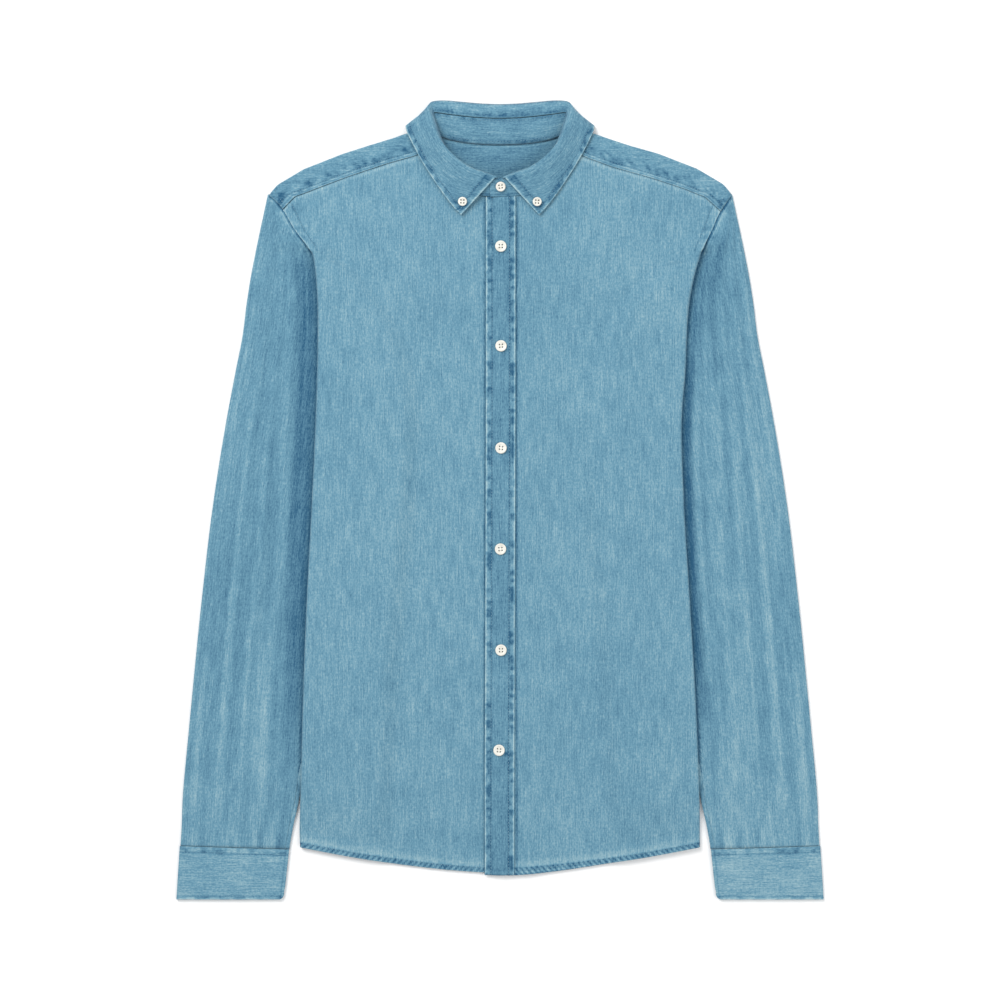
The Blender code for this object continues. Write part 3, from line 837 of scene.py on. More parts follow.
@dataclass
class Body:
    """The two fronts and the back, folded under at the sides."""

    creases: tuple[Crease, ...] = (
        Crease(-190.0, 215.0, -150.0, 90.0, 11.0, 0.9),
        Crease(-176.0, 170.0, -168.0, -60.0, 9.0, 0.6),
        Crease(195.0, 230.0, 160.0, 110.0, 12.0, 0.9),
        Crease(178.0, 150.0, 168.0, -40.0, 10.0, 0.6),
        Crease(-95.0, 320.0, -110.0, 150.0, 26.0, 0.7),
        Crease(100.0, 315.0, 118.0, 140.0, 28.0, 0.7),
        Crease(-120.0, 60.0, -60.0, -180.0, 24.0, 0.5),
        Crease(70.0, 90.0, 120.0, -160.0, 26.0, 0.5),
        Crease(-40.0, 270.0, -30.0, 60.0, 16.0, 0.4),
        Crease(40.0, 250.0, 46.0, 20.0, 16.0, 0.4),
        Crease(-150.0, -120.0, -140.0, -320.0, 18.0, 0.5),
        Crease(150.0, -100.0, 146.0, -320.0, 18.0, 0.5),
    )
    hem_edge: StitchedEdge = field(default_factory=lambda: StitchedEdge(
        band=5.4, rise=0.45, lines=(4.6,), pucker=0.4, dark=1.0, light=0.7, pitch=5.0))
    fell: StitchedEdge = field(default_factory=lambda: StitchedEdge(
        band=8.0, rise=0.35, lines=(7.4,), pucker=0.35, dark=0.8, light=0.4, seed=2.0))

    back_narrow: float = 1.2
    fold_wash: float = 2.0
    back_wash: float = -0.25

    def relief(self, x: Array, y: Array) -> Array:
        """Creases and rumple of the fronts, which fade out under the placket.

        Args:
            x: distances across the shirt.
            y: distances up the shirt.

        Returns:
            Heights in millimetres.
        """
        height = sum(crease.relief(x, y) for crease in self.creases)
        fade = smooth((np.abs(x) - 12.0) / 20.0)
        height = height + 0.35 * NOISE.at(x, y, 38.0, 70.0) + 0.16 * NOISE.at(x, y, 13.0, 24.0)
        return height * fade

    @staticmethod
    def flats(side: Side, y: float, start: float) -> Array:
        """Distances of the flat columns of a row.

        Args:
            side: which half.
            y: the row's place at the edge.
            start: where the row starts from the centre line.

        Returns:
            One distance for each flat column.
        """
        edge, under = float(Lay.edge(side, y)), float(Lay.tuck(y))
        end = edge - CLOTH / 2 - 1.5 * LAYER
        blend = float(smooth((y - 232.0) / 8.0))
        slope = (edge - under - 30.0) * (1 - blend) + (edge - 33.0) * blend
        top = (slope + 27.0) * (1 - blend) + (edge - 9.0) * blend
        return np.array([start, (start + slope) / 2, slope, (slope + top) / 2, top,
                         (top + end) / 2, end])

    def row(self, side: Side, columns: Array, y: float, start: float,
            front: bool) -> tuple[Array, Array, Array]:
        """One row of a panel over the flat, round the fold edge and under.

        Args:
            side: which half.
            columns: column numbers, whole or between.
            y: the row's place at the edge.
            start: where the row starts from the centre line.
            front: a front, or the back.

        Returns:
            Distance from the centre line, cloth distance and height.
        """
        flats = self.flats(side, y, start)
        level = Lay.front if front else Lay.back
        edge = float(Lay.edge(side, y))
        under, turn = float(Lay.tuck(y)), float(Lay.turn(y))
        x = np.interp(columns, np.arange(FLAT + 1), flats)
        s, z = x.copy(), level(side, x, y)
        narrow = self.back_narrow * float(smooth((y - 218.0) / 18.0))
        centre = flats[-1] - (0.0 if front else narrow)
        beyond = columns > FLAT
        if turn <= 1e-6:
            share = (columns - FLAT) / (ARC + STRIP)
            x = np.where(beyond, centre + (edge + LAP - centre) * share, x)
            return x, np.where(beyond, x, s), np.where(beyond, level(side, x, y), z)
        bottom = float(Lay.lift(y)) + FLOOR + (0.0 if front else LAYER)
        radius = (float(level(side, centre, y)) - bottom) / 2
        steps_round = ARC if under > 0.0 else ARC + STRIP
        angle = np.clip(turn * (columns - FLAT) / steps_round, 0.0, turn)
        reach = radius * np.sin(angle)
        if front:
            reach = reach * min(1.0, (edge - CLOTH / 2 - centre) / radius)
        if turn < math.pi / 2:
            share = (columns - FLAT) / (ARC + STRIP) * (edge + LAP - centre)
            reach = share + (reach - share) * float(smooth(turn / 1.5))
        run = np.where(columns > FLAT + ARC, under * (columns - FLAT - ARC) / STRIP, 0.0)
        run = run if under > 0.0 else np.zeros_like(columns)
        x = np.where(beyond, centre + reach - run, x)
        s = np.where(beyond, centre + radius * angle + run, s)
        z = np.where(beyond, bottom + radius * (1.0 + np.cos(angle)), z)
        return x, s, z

    @staticmethod
    def front_rows(side: Side) -> Array:
        """Rows of a front from its hem to its yoke seam.

        Args:
            side: which half.

        Returns:
            For each row its start, its height there and at the arm, and its share of the yoke
            seam's curve.
        """
        first = -14.0 if side is Side.RIGHT else 8.0
        rows = [(first, y, y, 0.0) for y in (*(row[0] for row in BODY), *TURN_YS)]
        last = len(NECK_ROWS) - 1
        for number, row in enumerate(NECK_ROWS):
            start = row[0] if row[0] > NECK_ROWS[0][0] else first
            arm = row[2] if side is Side.RIGHT else row[3]
            rows.append((start, row[1], arm, float(smooth((number - 1) / (last - 1)))))
        return np.array(rows)

    @staticmethod
    def front_picks(rows: Array) -> list[float]:
        """Row numbers to shape, whole and between, close together at the hem.

        Args:
            rows: the front's rows.

        Returns:
            The row numbers in rising order.
        """
        reach = np.maximum(np.diff(rows[:, 1:3], axis=0).max(axis=1),
                           np.abs(np.diff(rows[:, 0])) * 0.5)
        picks = [0.0]
        for number, length in enumerate(reach):
            gap = 0.7 if number == 0 else 3.0
            count = max(1, math.ceil(length / gap))
            picks += list(number + (np.arange(count) + 1) / count)
        return picks

    def join_yoke(self, side: Side, line: Line, row: Array, fans: Array, corner: Array,
                  enter: float) -> None:
        """Lead a line of a front from its straight rows up to the yoke seam and the armhole.

        Args:
            side: which half.
            line: the line, changed in place.
            row: its start, height there and at the arm, and share of the yoke seam's curve.
            fans: how the columns share out the width.
            corner: where the yoke seam meets the armhole.
            enter: how far the line has left the straight rows, from 0 to 1.
        """
        start, neck_y, arm_y, curve = row
        end = float(Lay.edge(side, arm_y)) + LAP
        fan = float(smooth((arm_y - 259.0) / 6.0))
        line.x = line.x * (1 - fan) + (start + (end - start) * fans) * fan
        share = (line.x - start) / (end - start)
        seam = Lay.by_side(FRONT_SEAM, side, line.x) + 0.8
        neck = np.array(NECK_ROWS[-1][:2])
        chord = neck + (corner - neck) * share[:, None]
        sag = Lay.by_side(FRONT_SEAM, side, chord[:, 0]) + 0.8 - chord[:, 1]
        fanned = neck_y + (arm_y - neck_y) * share + sag * curve * smooth(share * 12.0)
        line.y = line.y * (1 - enter) + fanned * enter
        line.z = line.z * (1 - enter) + Lay.front(side, line.x, line.y) * enter
        line.fold = line.fold * (1 - enter) + enter
        line.s = line.s * (1 - enter) + line.x * enter
        dz, tint = self.fell.shape(end - line.x, line.y)
        near = smooth((arm_y - ARMHOLE_Y) / 12.0)
        joined = float(smooth(curve * 3.0))
        low = hump((seam - line.y) / 1.3, 1.0) * smooth((line.x - 66.0) / 8.0)
        line.z = line.z + dz * near - 0.9 * low * joined
        line.tone = line.tone + tint * near + 0.55 * hump(seam - line.y - 3.2, 1.3) * joined

    def turn_hem(self, line: Line, level: float) -> None:
        """Give a line the hem's roping and stitch groove.

        Args:
            line: the line, changed in place.
            level: height of the hem's row before its dip.
        """
        above = line.y - (level - Lay.hem(line.s))
        dz, tint = self.hem_edge.shape(above, line.s)
        slant = (line.s + above * 0.9) * 2 * math.pi / 5.2
        rope = 0.5 + 0.5 * np.sin(slant + 1.3 * SPOTS.at(line.s, above, 9.0, 9.0))
        inside = 1.0 - smooth((above - 4.4) / 1.0)
        line.z = line.z + dz + 0.45 * rope * inside
        line.tone = line.tone + tint * 0.6 + (rope - 0.84) * 1.6 * inside
        line.tone = line.tone + 0.4 * hump(above - 8.0, 3.5)

    def front_line(self, side: Side, columns: Array, row: Array) -> Line:
        """A line of a front on the body's form, before its finishing.

        Args:
            side: which half.
            columns: the columns to shape.
            row: its start, height there and at the arm, and share of the yoke seam's curve.

        Returns:
            The line.
        """
        arm_y = float(row[2])
        x, s, z = self.row(side, columns, arm_y, float(row[0]), True)
        y = arm_y - Lay.hem(s) * Lay.hem_weight(arm_y)
        if side is Side.LEFT:
            low = smooth((-250.0 - arm_y) / 97.0)
            y = y - 2.6 * (1.0 - smooth((s - 14.0) / 110.0)) * low
        fold = 1.0 - smooth((columns - FLAT) / self.fold_wash)
        return Line(x, y, z, s, np.zeros_like(x), fold)

    def front(self, side: Side) -> Sheet:
        """Shape one front.

        Args:
            side: which half.

        Returns:
            The front's sheet.
        """
        rows = self.front_rows(side)
        straight = len(rows) - len(NECK_ROWS) - 1
        columns = np.concatenate((
            steps((0, 1, 2, 3, 4, 5, 6), (0.028, 0.028, 0.11, 0.11, 0.042, 0.042)),
            steps((6, 10, 13), (0.36, 0.5))[1:]))
        corner = np.array((float(Lay.edge(side, float(rows[-1, 2]))) + LAP, float(rows[-1, 2])))
        flat_x = self.row(side, columns, NECK_ROWS[0][2], float(rows[0, 0]), True)[0]
        fans = (flat_x - flat_x[0]) / (flat_x[-1] - flat_x[0])
        band_edge = 15.3 if side is Side.RIGHT else 16.7
        points, cloth, wash, fells = [], [], [], []
        for pick in self.front_picks(rows):
            row = np.array([np.interp(pick, np.arange(len(rows)), column) for column in rows.T])
            line = self.front_line(side, columns, row)
            if pick > straight:
                self.join_yoke(side, line, row, fans, corner, min(1.0, pick - straight))
            # Painted shadow: a dark line on the front just beside the placket's edge.
            line.tone = line.tone - 1.1 * hump(line.x - band_edge, 0.9)
            if side is Side.LEFT:
                over = 1.0 - smooth((np.abs(line.x) - 22.0) / 30.0)
                line.z = line.z + (LAYER + 0.2) * over
            if pick <= 1.0:
                self.turn_hem(line, float(rows[0, 2]))
            line.z = line.z + self.relief(side.value * line.x, line.y) * line.fold
            points.append(np.stack((side.value * line.x, line.y, line.z), axis=-1))
            cloth.append(np.stack((side.value * line.s, line.y), axis=-1))
            wash.append(line.tone)
            beside_arm = row[2] > 251.0
            fells.append(float(Lay.edge(side, row[2])) - line.x if beside_arm
                         else np.full_like(line.x, -9.0))
        points, fells = np.array(points), np.array(fells)
        rise = points[..., 1] - points[0, :, 1]
        shown = columns <= FLAT + 0.5
        armed = fells[:, 0] > 0
        seams = [contour(points[:, shown], rise[:, shown], self.hem_edge.lines[0], 0),
                 contour(points[armed], fells[armed], self.fell.lines[0], 1)]
        return Sheet(points, np.array(cloth), np.array(wash), seams)

    def back(self) -> Sheet:
        """Shape the back, plain, from fold to fold.

        Returns:
            The back's sheet.
        """
        rows = [r[0] for r in BODY] + [*TURN_YS, 253.0, 259.0, 264.5]
        picks = steps(rows, [8.0] * len(rows))
        half = steps((0, 1, 2, 3, 4, 5, 6, 10, 13), (0.25, 0.25, 0.25, 0.25, 0.3, 0.3, 0.5, 0.5))
        points, cloth = [], []
        for y_row in picks:
            parts = []
            for side in (Side.RIGHT, Side.LEFT):
                x, s, z = self.row(side, half, float(y_row), 0.0, False)
                drop = Lay.hem(s) - (3.0 if y_row < -300.0 else 0.0)
                y = y_row - drop * Lay.hem_weight(y_row)
                line = np.stack((side.value * x, y, z, side.value * s), axis=-1)
                parts.append(line[::-1][:-1] if side is Side.RIGHT else line)
            line = np.concatenate(parts)
            points.append(line[:, :3])
            cloth.append(np.stack((line[:, 3], line[:, 1]), axis=-1))
        points = np.array(points)
        return Sheet(points, np.array(cloth), np.full(points.shape[:2], self.back_wash))


@dataclass
class Placket:
    """The front band with a line of topstitching down each side."""

    left: float = -14.2
    right: float = 15.6
    lines: tuple[float, float] = (6.3, 23.8)

    def height(self, x: Array, y: Array) -> Array:
        """Middle of the band at a place.

        Args:
            x: distances across the shirt.
            y: distances up the shirt.

        Returns:
            Heights in millimetres.
        """
        z = Lay.front(Side.RIGHT, np.zeros_like(np.asarray(x, dtype=float)), y) + LAYER
        return z + LAYER * smooth((np.asarray(x) - self.left) / 18.0) + 0.2

    def relief(self, across: Array, y: Array) -> tuple[Array, Array]:
        """Puckers, grooves and wear of the band, and painted shadow along its edges.

        Args:
            across: distance from the band's left edge.
            y: distance up the shirt.

        Returns:
            Height in millimetres, and wash with painted shadow at the edges.
        """
        width = self.right - self.left
        sides = []
        for away, line, pitch, seed in ((across, self.lines[0], 7.5, 5.0),
                                        (width - across, width - self.lines[1], 7.0, 8.0)):
            edge = StitchedEdge(band=line, rise=0.1, lines=(line,), pucker=0.6, dark=1.2,
                                light=1.0, pitch=pitch, seed=seed)
            sides.append(edge.shape(away, y))
        (dz1, w1), (dz2, w2) = sides
        middle = hump(across - width / 2, 7.0)
        rims = hump(across - 0.9, 0.9) + hump(width - 0.9 - across, 0.9)
        # outer: a painted shadow line along each edge of the band.
        outer = hump(across + 0.1, 0.5) + hump(width + 0.1 - across, 0.5)
        return (dz1 + dz2 + 0.25 * middle + 0.15 * NOISE.at(across, y, 9.0, 30.0),
                w1 + w2 - 0.22 + 0.45 * rims - 1.6 * outer)

    def sheet(self) -> Sheet:
        """Shape the band, its top under the collar stand.

        Returns:
            The band's sheet.
        """
        width = self.right - self.left
        across = steps((0.0, 1.6, 5.3, 7.3, 20.0, 22.8, 24.8, width - 1.6, width),
                       (0.4, 0.9, 0.4, 1.6, 0.6, 0.4, 0.9, 0.4))
        ys = steps((HEM_Y, 300.0, 306.0), (1.6, 1.0))
        points, cloth, wash = [], [], []
        for y_row in ys:
            x = self.left + across - 1.2 * float(smooth((150.0 - y_row) / 500.0))
            y = y_row - (Lay.hem(x) - 0.3) * Lay.hem_weight(y_row)
            y = y - 2.6 * float(smooth((-320.0 - y_row) / 27.0))
            dz, tone = self.relief(across, y)
            above = y_row - HEM_Y
            end = hump(above - 5.5, 0.9) + hump(above, 1.2) * 0.4
            z = self.height(x, y_row) + dz - 0.2 * end
            z = z - 1.1 * float(smooth((y_row - 301.5) / 3.0))
            points.append(np.stack((x, y, z), axis=-1))
            cloth.append(np.stack((x + 700.0, y), axis=-1))
            hole = hump(across - 21.4, 1.2) * float(hump(y_row + 250.0, 1.0))
            wash.append(tone - 0.6 * end - 2.2 * hole)
        points = np.array(points)
        away = np.broadcast_to(across, points.shape[:2])
        seams = [contour(points, away, line, 1) for line in self.lines]
        return Sheet(points, np.array(cloth), np.array(wash), seams)


@dataclass
class Yoke:
    """The yoke: up the back, over both shoulders, down to the fronts."""

    columns: tuple[float, ...] = (0.0, 18.0, 36.0, 52.0, 64.0, 70.0, 76.0, 82.0, 88.0, 99.0, 113.0,
                                  132.0, 152.0, 184.0, 205.0, 218.0, 231.0)
    cut: tuple[tuple[float, float], ...] = ((64.0, 0.0), (70.0, 0.1), (74.0, 0.4), (78.0, 0.8),
                                            (82.0, 1.0))
    inset_from: float = 110.0
    back_seam: float = 265.1
    seam: StitchedEdge = field(default_factory=lambda: StitchedEdge(
        band=12.0, rise=0.3, lines=(1.6,), pucker=0.5, dark=0.9, light=0.4, pitch=9.0, seed=3.0))
    arm: StitchedEdge = field(default_factory=lambda: StitchedEdge(
        band=7.0, rise=0.3, lines=(6.6,), pucker=0.35, dark=0.9, light=0.5, seed=9.0))

    def inset(self, x: Array, y: Array, side: Side) -> Array:
        """The outer columns draw in along the armhole."""
        gap = SHOULDER_X - Lay.edge(side, np.minimum(y, SHOULDER_Y)) - LAP
        return gap * smooth((x - self.inset_from) / (SHOULDER_X - self.inset_from))

    def seam_y(self, side: Side, x: Array) -> Array:
        """Where a column meets the front's seam, found in a few rounds.

        Args:
            side: which half.
            x: the column's distance from the centre line at the shoulder.

        Returns:
            The height of the seam there.
        """
        y = Lay.by_side(FRONT_SEAM, side, x)
        for _ in range(14):
            y = y + (Lay.by_side(FRONT_SEAM, side, x - self.inset(x, y, side)) - y) / 2
        return y + GAP

    def column(self, side: Side, x: float, back: Array, turn: Array, front: Array) -> Array:
        """One column of the yoke from its back seam to its front seam.

        Args:
            side: which half.
            x: distance from the centre line at the shoulder.
            back: shares of the way up the back.
            turn: shares of the way round the shoulder.
            front: shares of the way down the front.

        Returns:
            Rows of x, y, z, cloth distance, and distance above the front seam.
        """
        edge = float(Lay.by_side(SHOULDER, side, x))
        bottom, top = float(Lay.back(side, x, edge - 4.0)), float(Lay.front(side, x, edge - 4.0))
        radius = (top - bottom) / 2
        centre = edge - CLOTH / 2 - radius
        kept = float(read(self.cut, x, 1))
        if x < 76.0:
            neck = 354.2 + 9.0 * float(smooth((x - 22.0) / 56.0)) - 2.0
            centre = min(centre, neck)
        y1 = self.back_seam + (centre - self.back_seam) * back
        rows = [np.stack((y1, Lay.back(side, np.full_like(y1, x), y1), y1), axis=-1)]
        seam = float(self.seam_y(side, np.array(x)))
        total = math.pi * radius
        share = np.concatenate((turn * 0.6, 0.6 + front * 0.4))
        if kept <= 0.0:
            y = centre + 2.0 * share
            level = float(Lay.back(side, x, centre))
            rows.append(np.stack((y, np.full_like(y, level), y), axis=-1))
        else:
            run = total * np.minimum(1.0, share / 0.6)
            run = (run + (centre - seam) * np.maximum(0.0, (share - 0.6) / 0.4)) * kept
            angle = np.minimum(run / radius, math.pi)
            over = np.maximum(run - total, 0.0)
            y = centre + radius * np.sin(angle) - over
            z = np.where(run < total, bottom + radius * (1 - np.cos(angle)),
                         Lay.front(side, np.full_like(y, x), y))
            rows.append(np.stack((y, z, centre + run), axis=-1))
        line = np.concatenate(rows)
        xs = x - self.inset(np.full(len(line), x), line[:, 0], side)
        return np.column_stack((xs, line[:, 0], line[:, 1], line[:, 2], line[:, 0] - seam))

    def sheet(self, body: Body) -> Sheet:
        """Shape the yoke.

        Args:
            body: gives the fronts' relief, shared over the seam.

        Returns:
            The yoke's sheet.
        """
        back = steps((0.0, 1.0), (0.06,))
        turn = steps((0.0, 1.0), (0.1,))[1:]
        front = steps((0.0, 0.5, 1.0), (0.06, 0.03))[1:]
        xs = steps(self.columns, [2.4] * 20)
        lines: list[Array] = []
        for side in (Side.RIGHT, Side.LEFT):
            half = [self.column(side, float(x), back, turn, front) for x in xs]
            for line in half:
                line[:, 0] *= side.value
            lines += half[::-1][:-1] if side is Side.RIGHT else half
        data = np.array(lines).transpose(1, 0, 2)
        x, y, z, cloth_y, above = (data[..., k] for k in range(5))
        first_top = len(back) + len(turn) - 1
        on_top = np.zeros(x.shape)
        on_top[first_top:] = 1.0
        on_top[len(back):first_top] = np.linspace(0, 1, len(turn) - 1)[:, None]
        shoulder = smooth((np.abs(x) - 79.0) / 6.0)
        dz, tone = self.seam.shape(above, x)
        fade = on_top * shoulder
        z = z + dz * fade + body.relief(x, y) * 0.6 * fade
        wash = tone * fade
        below = np.minimum(y, SHOULDER_Y)
        edge = np.where(x < 0, Lay.edge(Side.RIGHT, below), Lay.edge(Side.LEFT, below))
        near = on_top * smooth((np.abs(x) - 195.0) / 6.0)
        dz, tone = self.arm.shape(edge - np.abs(x), y)
        z, wash = z + dz * near, wash + tone * near
        line = hump(above - 4.4, 0.7) * fade
        slant = (x + above * 0.6) * 2.0 * math.pi / 9.4
        beat = np.sin(slant + 1.6 * SPOTS.at(x, above, 22.0, 30.0))
        spotty = np.clip(0.12 + 0.5 * beat + 0.9 * SPOTS.at(x + above * 0.5, above, 4.8, 6.0),
                         0.0, 1.0)
        blotch = spotty * hump(above - 8.6, 3.6) * fade
        z = z + 0.35 * hump(above, 1.6) * fade - 0.2 * line - 0.3 * blotch
        wash = wash - 0.8 * line - 1.0 * blotch + 0.6 * hump(above - 2.6, 0.9) * fade
        wash = wash - 0.32 * (1.0 - on_top) * (np.abs(x) < 90)
        points = np.stack((x, y, z), axis=-1)
        top = slice(first_top, None)
        seams = []
        for side in (x[0] < -84.0, x[0] > 84.0):
            seams.append(contour(points[top][:, side], above[top][:, side], 4.4, 0))
        for side in (x[0] < 0.0, x[0] > 0.0):
            away = (edge - np.abs(x))[top][:, side]
            seams.append(contour(points[top][:, side], away, 6.6, 1))
        return Sheet(points, np.stack((np.where(on_top > 0.5, 900.0 - y, cloth_y), x),
                                      axis=-1), wash, seams)


@dataclass
class Sleeve:
    """One sleeve: a flattened tube with long soft folds."""

    side: Side
    vent: float = -262.0
    vent_width: float = 4.8
    under_body: float = 0.9
    folds: tuple[tuple[float, float, float, float, float], ...] = (
        (0.90, 0.055, 0.9, 61.0, 0.0), (0.70, 0.07, 0.8, 74.0, 1.3),
        (0.49, 0.06, 0.7, 90.0, 2.4), (0.30, 0.07, 0.6, 67.0, 0.7))

    def edges(self, y: Array) -> tuple[Array, Array]:
        """Outer and inner edge from the centre line.

        Args:
            y: distances up the shirt.

        Returns:
            The two edges.
        """
        whole = tuple(row[:2] for row in SLEEVE) + SLEEVE_TOP
        outer = read_soft(tuple((*row, 0.0) for row in whole), y, 1)
        low_inner = read_soft(SLEEVE, y, 1) - read_soft(SLEEVE, y, 2)
        high_inner = Lay.edge(self.side, y) - self.under_body
        blend = smooth((y - UNDERARM_Y) / (SEAM_Y - UNDERARM_Y))
        return outer, low_inner * (1 - blend) + high_inner * blend

    def opens(self, y: float, inner: float) -> float:
        """Where the sleeve comes out from under the body."""
        return max(float(Lay.edge(self.side, y)) + 3.0, inner) if y > -300.0 else inner

    def crown(self, x: Array, y: float, outer: float, inner: float) -> tuple[Array, Array]:
        """Folds of the top layer where nothing lies on it.

        Args:
            x: distances from the centre line.
            y: the row's distance up the shirt.
            outer: the sleeve's outer edge there.
            inner: its inner edge there.

        Returns:
            Height, and wash with painted light and shade on the folds, beside the body's edge and
            under it.
        """
        edge = self.opens(y, inner)
        width = max(outer - edge, 1.0)
        place = np.clip((x - edge) / width, 0.0, 1.0)
        away = x - edge
        body = np.sin(math.pi * place) ** 0.7
        ends = float(smooth((y - HEM_Y) / 60.0))
        wander = 0.05 * math.sin(y / 83.0 + self.side.value) + 0.03 * math.sin(y / 37.0)
        ridges = sum(high * (0.8 + 0.3 * math.sin(y / run + begin))
                     * hump(place - at - wander * (1 - at), wide)
                     for at, wide, high, run, begin in self.folds)
        height = body * (1.2 + 2.0 * ridges * ends) * float(smooth((width - 8.0) / 30.0))
        streak = NOISE.at(place * 300.0 + 40.0, np.full_like(x, y * 0.12), 12.0, 24.0)
        fine = NOISE.at(place * 300.0 + 90.0, np.full_like(x, y * 0.12), 5.0, 14.0)
        deeper = 0.16 * ends * float(smooth((y + 250.0) / 150.0))
        # Painted light and shade on the folds: the ridges lighter, the hollows between them darker.
        wash = (ridges - 0.38) * 0.55 * ends + 0.24 * streak + 0.12 * fine - deeper
        reach = float(smooth((262.0 - y) / 30.0) * smooth((y + 290.0) / 110.0))
        if self.side is Side.RIGHT:
            spread = 9.0 + 8.0 * float(smooth((y + 60.0) / 240.0))
            # Painted shade: a dark band on the sleeve beside the body's edge.
            wash = wash - (0.62 * hump(away - 3.0, spread) + 0.25 * hump(away - 14.0, 8.0)) * reach
        else:
            step = float(smooth((170.0 - y) / 90.0) * smooth((y + 230.0) / 90.0))
            height = height + step * (1.4 * hump(away - 11.5, 4.0) - 1.2 * hump(away - 2.0, 6.0))
            # Painted shade in the trough beside the body's edge, and a painted highlight on the
            # ridge beyond it.
            wash = wash - step * 1.15 * hump(away - 2.0, 4.8)
            wash = wash + step * 0.45 * hump(away - 12.5, 3.0)
            # Painted shade: a wide dark band beside the body's edge where there is no step; the
            # whole sleeve is also a little lighter.
            wash = wash - (1.0 - step) * 0.5 * hump(away - 4.0, 14.0) * reach + 0.16
            # Painted shade along a crease running down from the armhole.
            fold = float(smooth((y - 90.0) / 60.0) * smooth((275.0 - y) / 20.0))
            wash = wash - 0.45 * hump(away - 16.0 - (ARMHOLE_Y - y) * 0.1, 6.0) * fold
        # Under the body and just beside its edge the layer is painted a flat dark, as shade.
        return height, np.where(away > 0, wash, -1.2)

    def top_layer(self, x: Array, y: float, outer: float, inner: float,
                  base: Array) -> tuple[Array, Array]:
        """Finish the top layer: folds, rumple, cuff pleats and armhole seam.

        Args:
            x: distances from the centre line.
            y: the row's distance up the shirt.
            outer: the sleeve's outer edge there.
            inner: its inner edge there.
            base: the layer's plain height.

        Returns:
            Height, and wash with painted shadow under the body's edge at the armhole.
        """
        level = np.full_like(x, y)
        crown, tone = self.crown(x, y, outer, inner)
        rumple = 0.3 * NOISE.at(x + 333.0, level, 24.0, 70.0)
        rumple = rumple + 0.14 * NOISE.at(x + 70.0, level, 9.0, 22.0)
        cuffward = float(hump((y - HEM_Y) / 16.0, 1.0))
        pleats = SPOTS.at(x, np.full_like(x, y * 0.1), 6.0, 8.0)
        z = base + crown + rumple * np.clip(crown, 0.0, 1.0) + 0.55 * cuffward * pleats
        tone = tone + 0.7 * cuffward * pleats
        if y > SEAM_Y:
            away = x - float(Lay.edge(self.side, y))
            near = float(smooth((y - SEAM_Y) / 8.0))
            gather = SPOTS.at(level, away * 0.4, 3.4, 9.0)
            z = z - 0.9 * near * hump(away + 0.6, 1.3)
            z = z + 0.3 * gather * near * hump(away - 4.0, 6.0)
            # Painted shadow: a dark line on the sleeve just under the body's edge, then a lighter
            # band beyond it.
            tone = tone - 0.7 * hump(away - 0.4, 1.1) + 0.5 * hump(away - 3.2, 1.6)
            tone = tone + 0.5 * gather * hump(away - 3.0, 6.0)
        return z, tone

    def sheet(self) -> Sheet:
        """Shape the sleeve from its inner edge, under, round the fold and back over.

        Returns:
            The sleeve's sheet.
        """
        stops = [row[0] for row in SLEEVE] + [row[0] for row in SLEEVE_TOP]
        ys = steps(stops, [2.4] * len(stops))
        under = np.linspace(0.0, 1.0, 7)
        turn = np.linspace(0.0, 1.0, 9)[1:]
        over = np.linspace(0.0, 1.0, 76)[1:]
        points, cloth, wash = [], [], []
        for number, y in enumerate(ys):
            outer, inner = (float(v) for v in self.edges(np.array(y)))
            at_seam = float(smooth((y - SEAM_Y) / 16.0))
            high = FLOOR + LAYER + at_seam * (float(Lay.air(y)) + 0.1)
            radius = LAYER / 2 + 0.4 * float(smooth((y - HEM_Y) / 7))
            centre = outer - CLOTH / 2 - radius
            x1 = inner + (centre - inner) * under
            lift = at_seam * float(Lay.rise(self.side, np.array(Lay.edge(self.side, y)), y))
            z1 = FLOOR + lift * (1.0 - under)
            x2 = centre + radius * np.sin(math.pi * turn)
            z2 = FLOOR + radius * (1.0 - np.cos(math.pi * turn))
            stop = inner + 3.9 * float(1.0 - smooth((y - self.vent) / 12.0))
            x3 = centre - (centre - stop) * over
            share = (centre - x3) / (centre - stop)
            seam_z = high if y > SEAM_Y else FLOOR + LAYER
            side_z = FLOOR + 2.0 * radius
            z3, tone = self.top_layer(x3, float(y), outer, inner,
                                      side_z + (seam_z - side_z) * smooth(share * 2.0))
            x = np.concatenate((x1, x2, x3))
            z = np.concatenate((z1, z2, z3))
            y_line = np.full_like(x, y)
            if number == 0:
                y_line = -345.8 - 3.4 * (outer - x) / 110.0
            girth = np.concatenate((x1 - outer, np.linspace(centre - outer, outer - centre, 8),
                                    outer - x3))
            tones = np.concatenate((np.full(len(x1), -0.2), np.zeros(len(x2)), tone))
            points.append(np.stack((self.side.value * x, y_line, z), axis=-1))
            cloth.append(np.stack((girth + 1000.0 + 400.0 * self.side.value, y_line), axis=-1))
            wash.append(tones)
        return Sheet(np.array(points), np.array(cloth), np.array(wash))

    def binding(self) -> Sheet:
        """Shape the vent's narrow binding.

        Returns:
            The binding's sheet.
        """
        ys = steps((-348.9, self.vent), (3.0,))
        across = np.linspace(0.0, self.vent_width, 7)
        points, cloth, wash = [], [], []
        for y in ys:
            _, inner = self.edges(np.array(max(y, HEM_Y)))
            x = float(inner) + across
            dome = 0.25 * np.sin(math.pi * across / self.vent_width)
            ripple = 0.15 * SPOTS.at(np.full_like(x, y), across, 7.0, 4.0)
            z = FLOOR + LAYER + dome + ripple
            points.append(np.stack((self.side.value * x, np.full_like(x, y), z), axis=-1))
            cloth.append(np.stack((x + 60.0, np.full_like(x, y)), axis=-1))
            wash.append(-0.5 * hump(across - 1.0, 0.6) + 1.2 * ripple + 0.3 * hump(across, 0.8))
        return Sheet(np.array(points), np.array(cloth), np.array(wash))


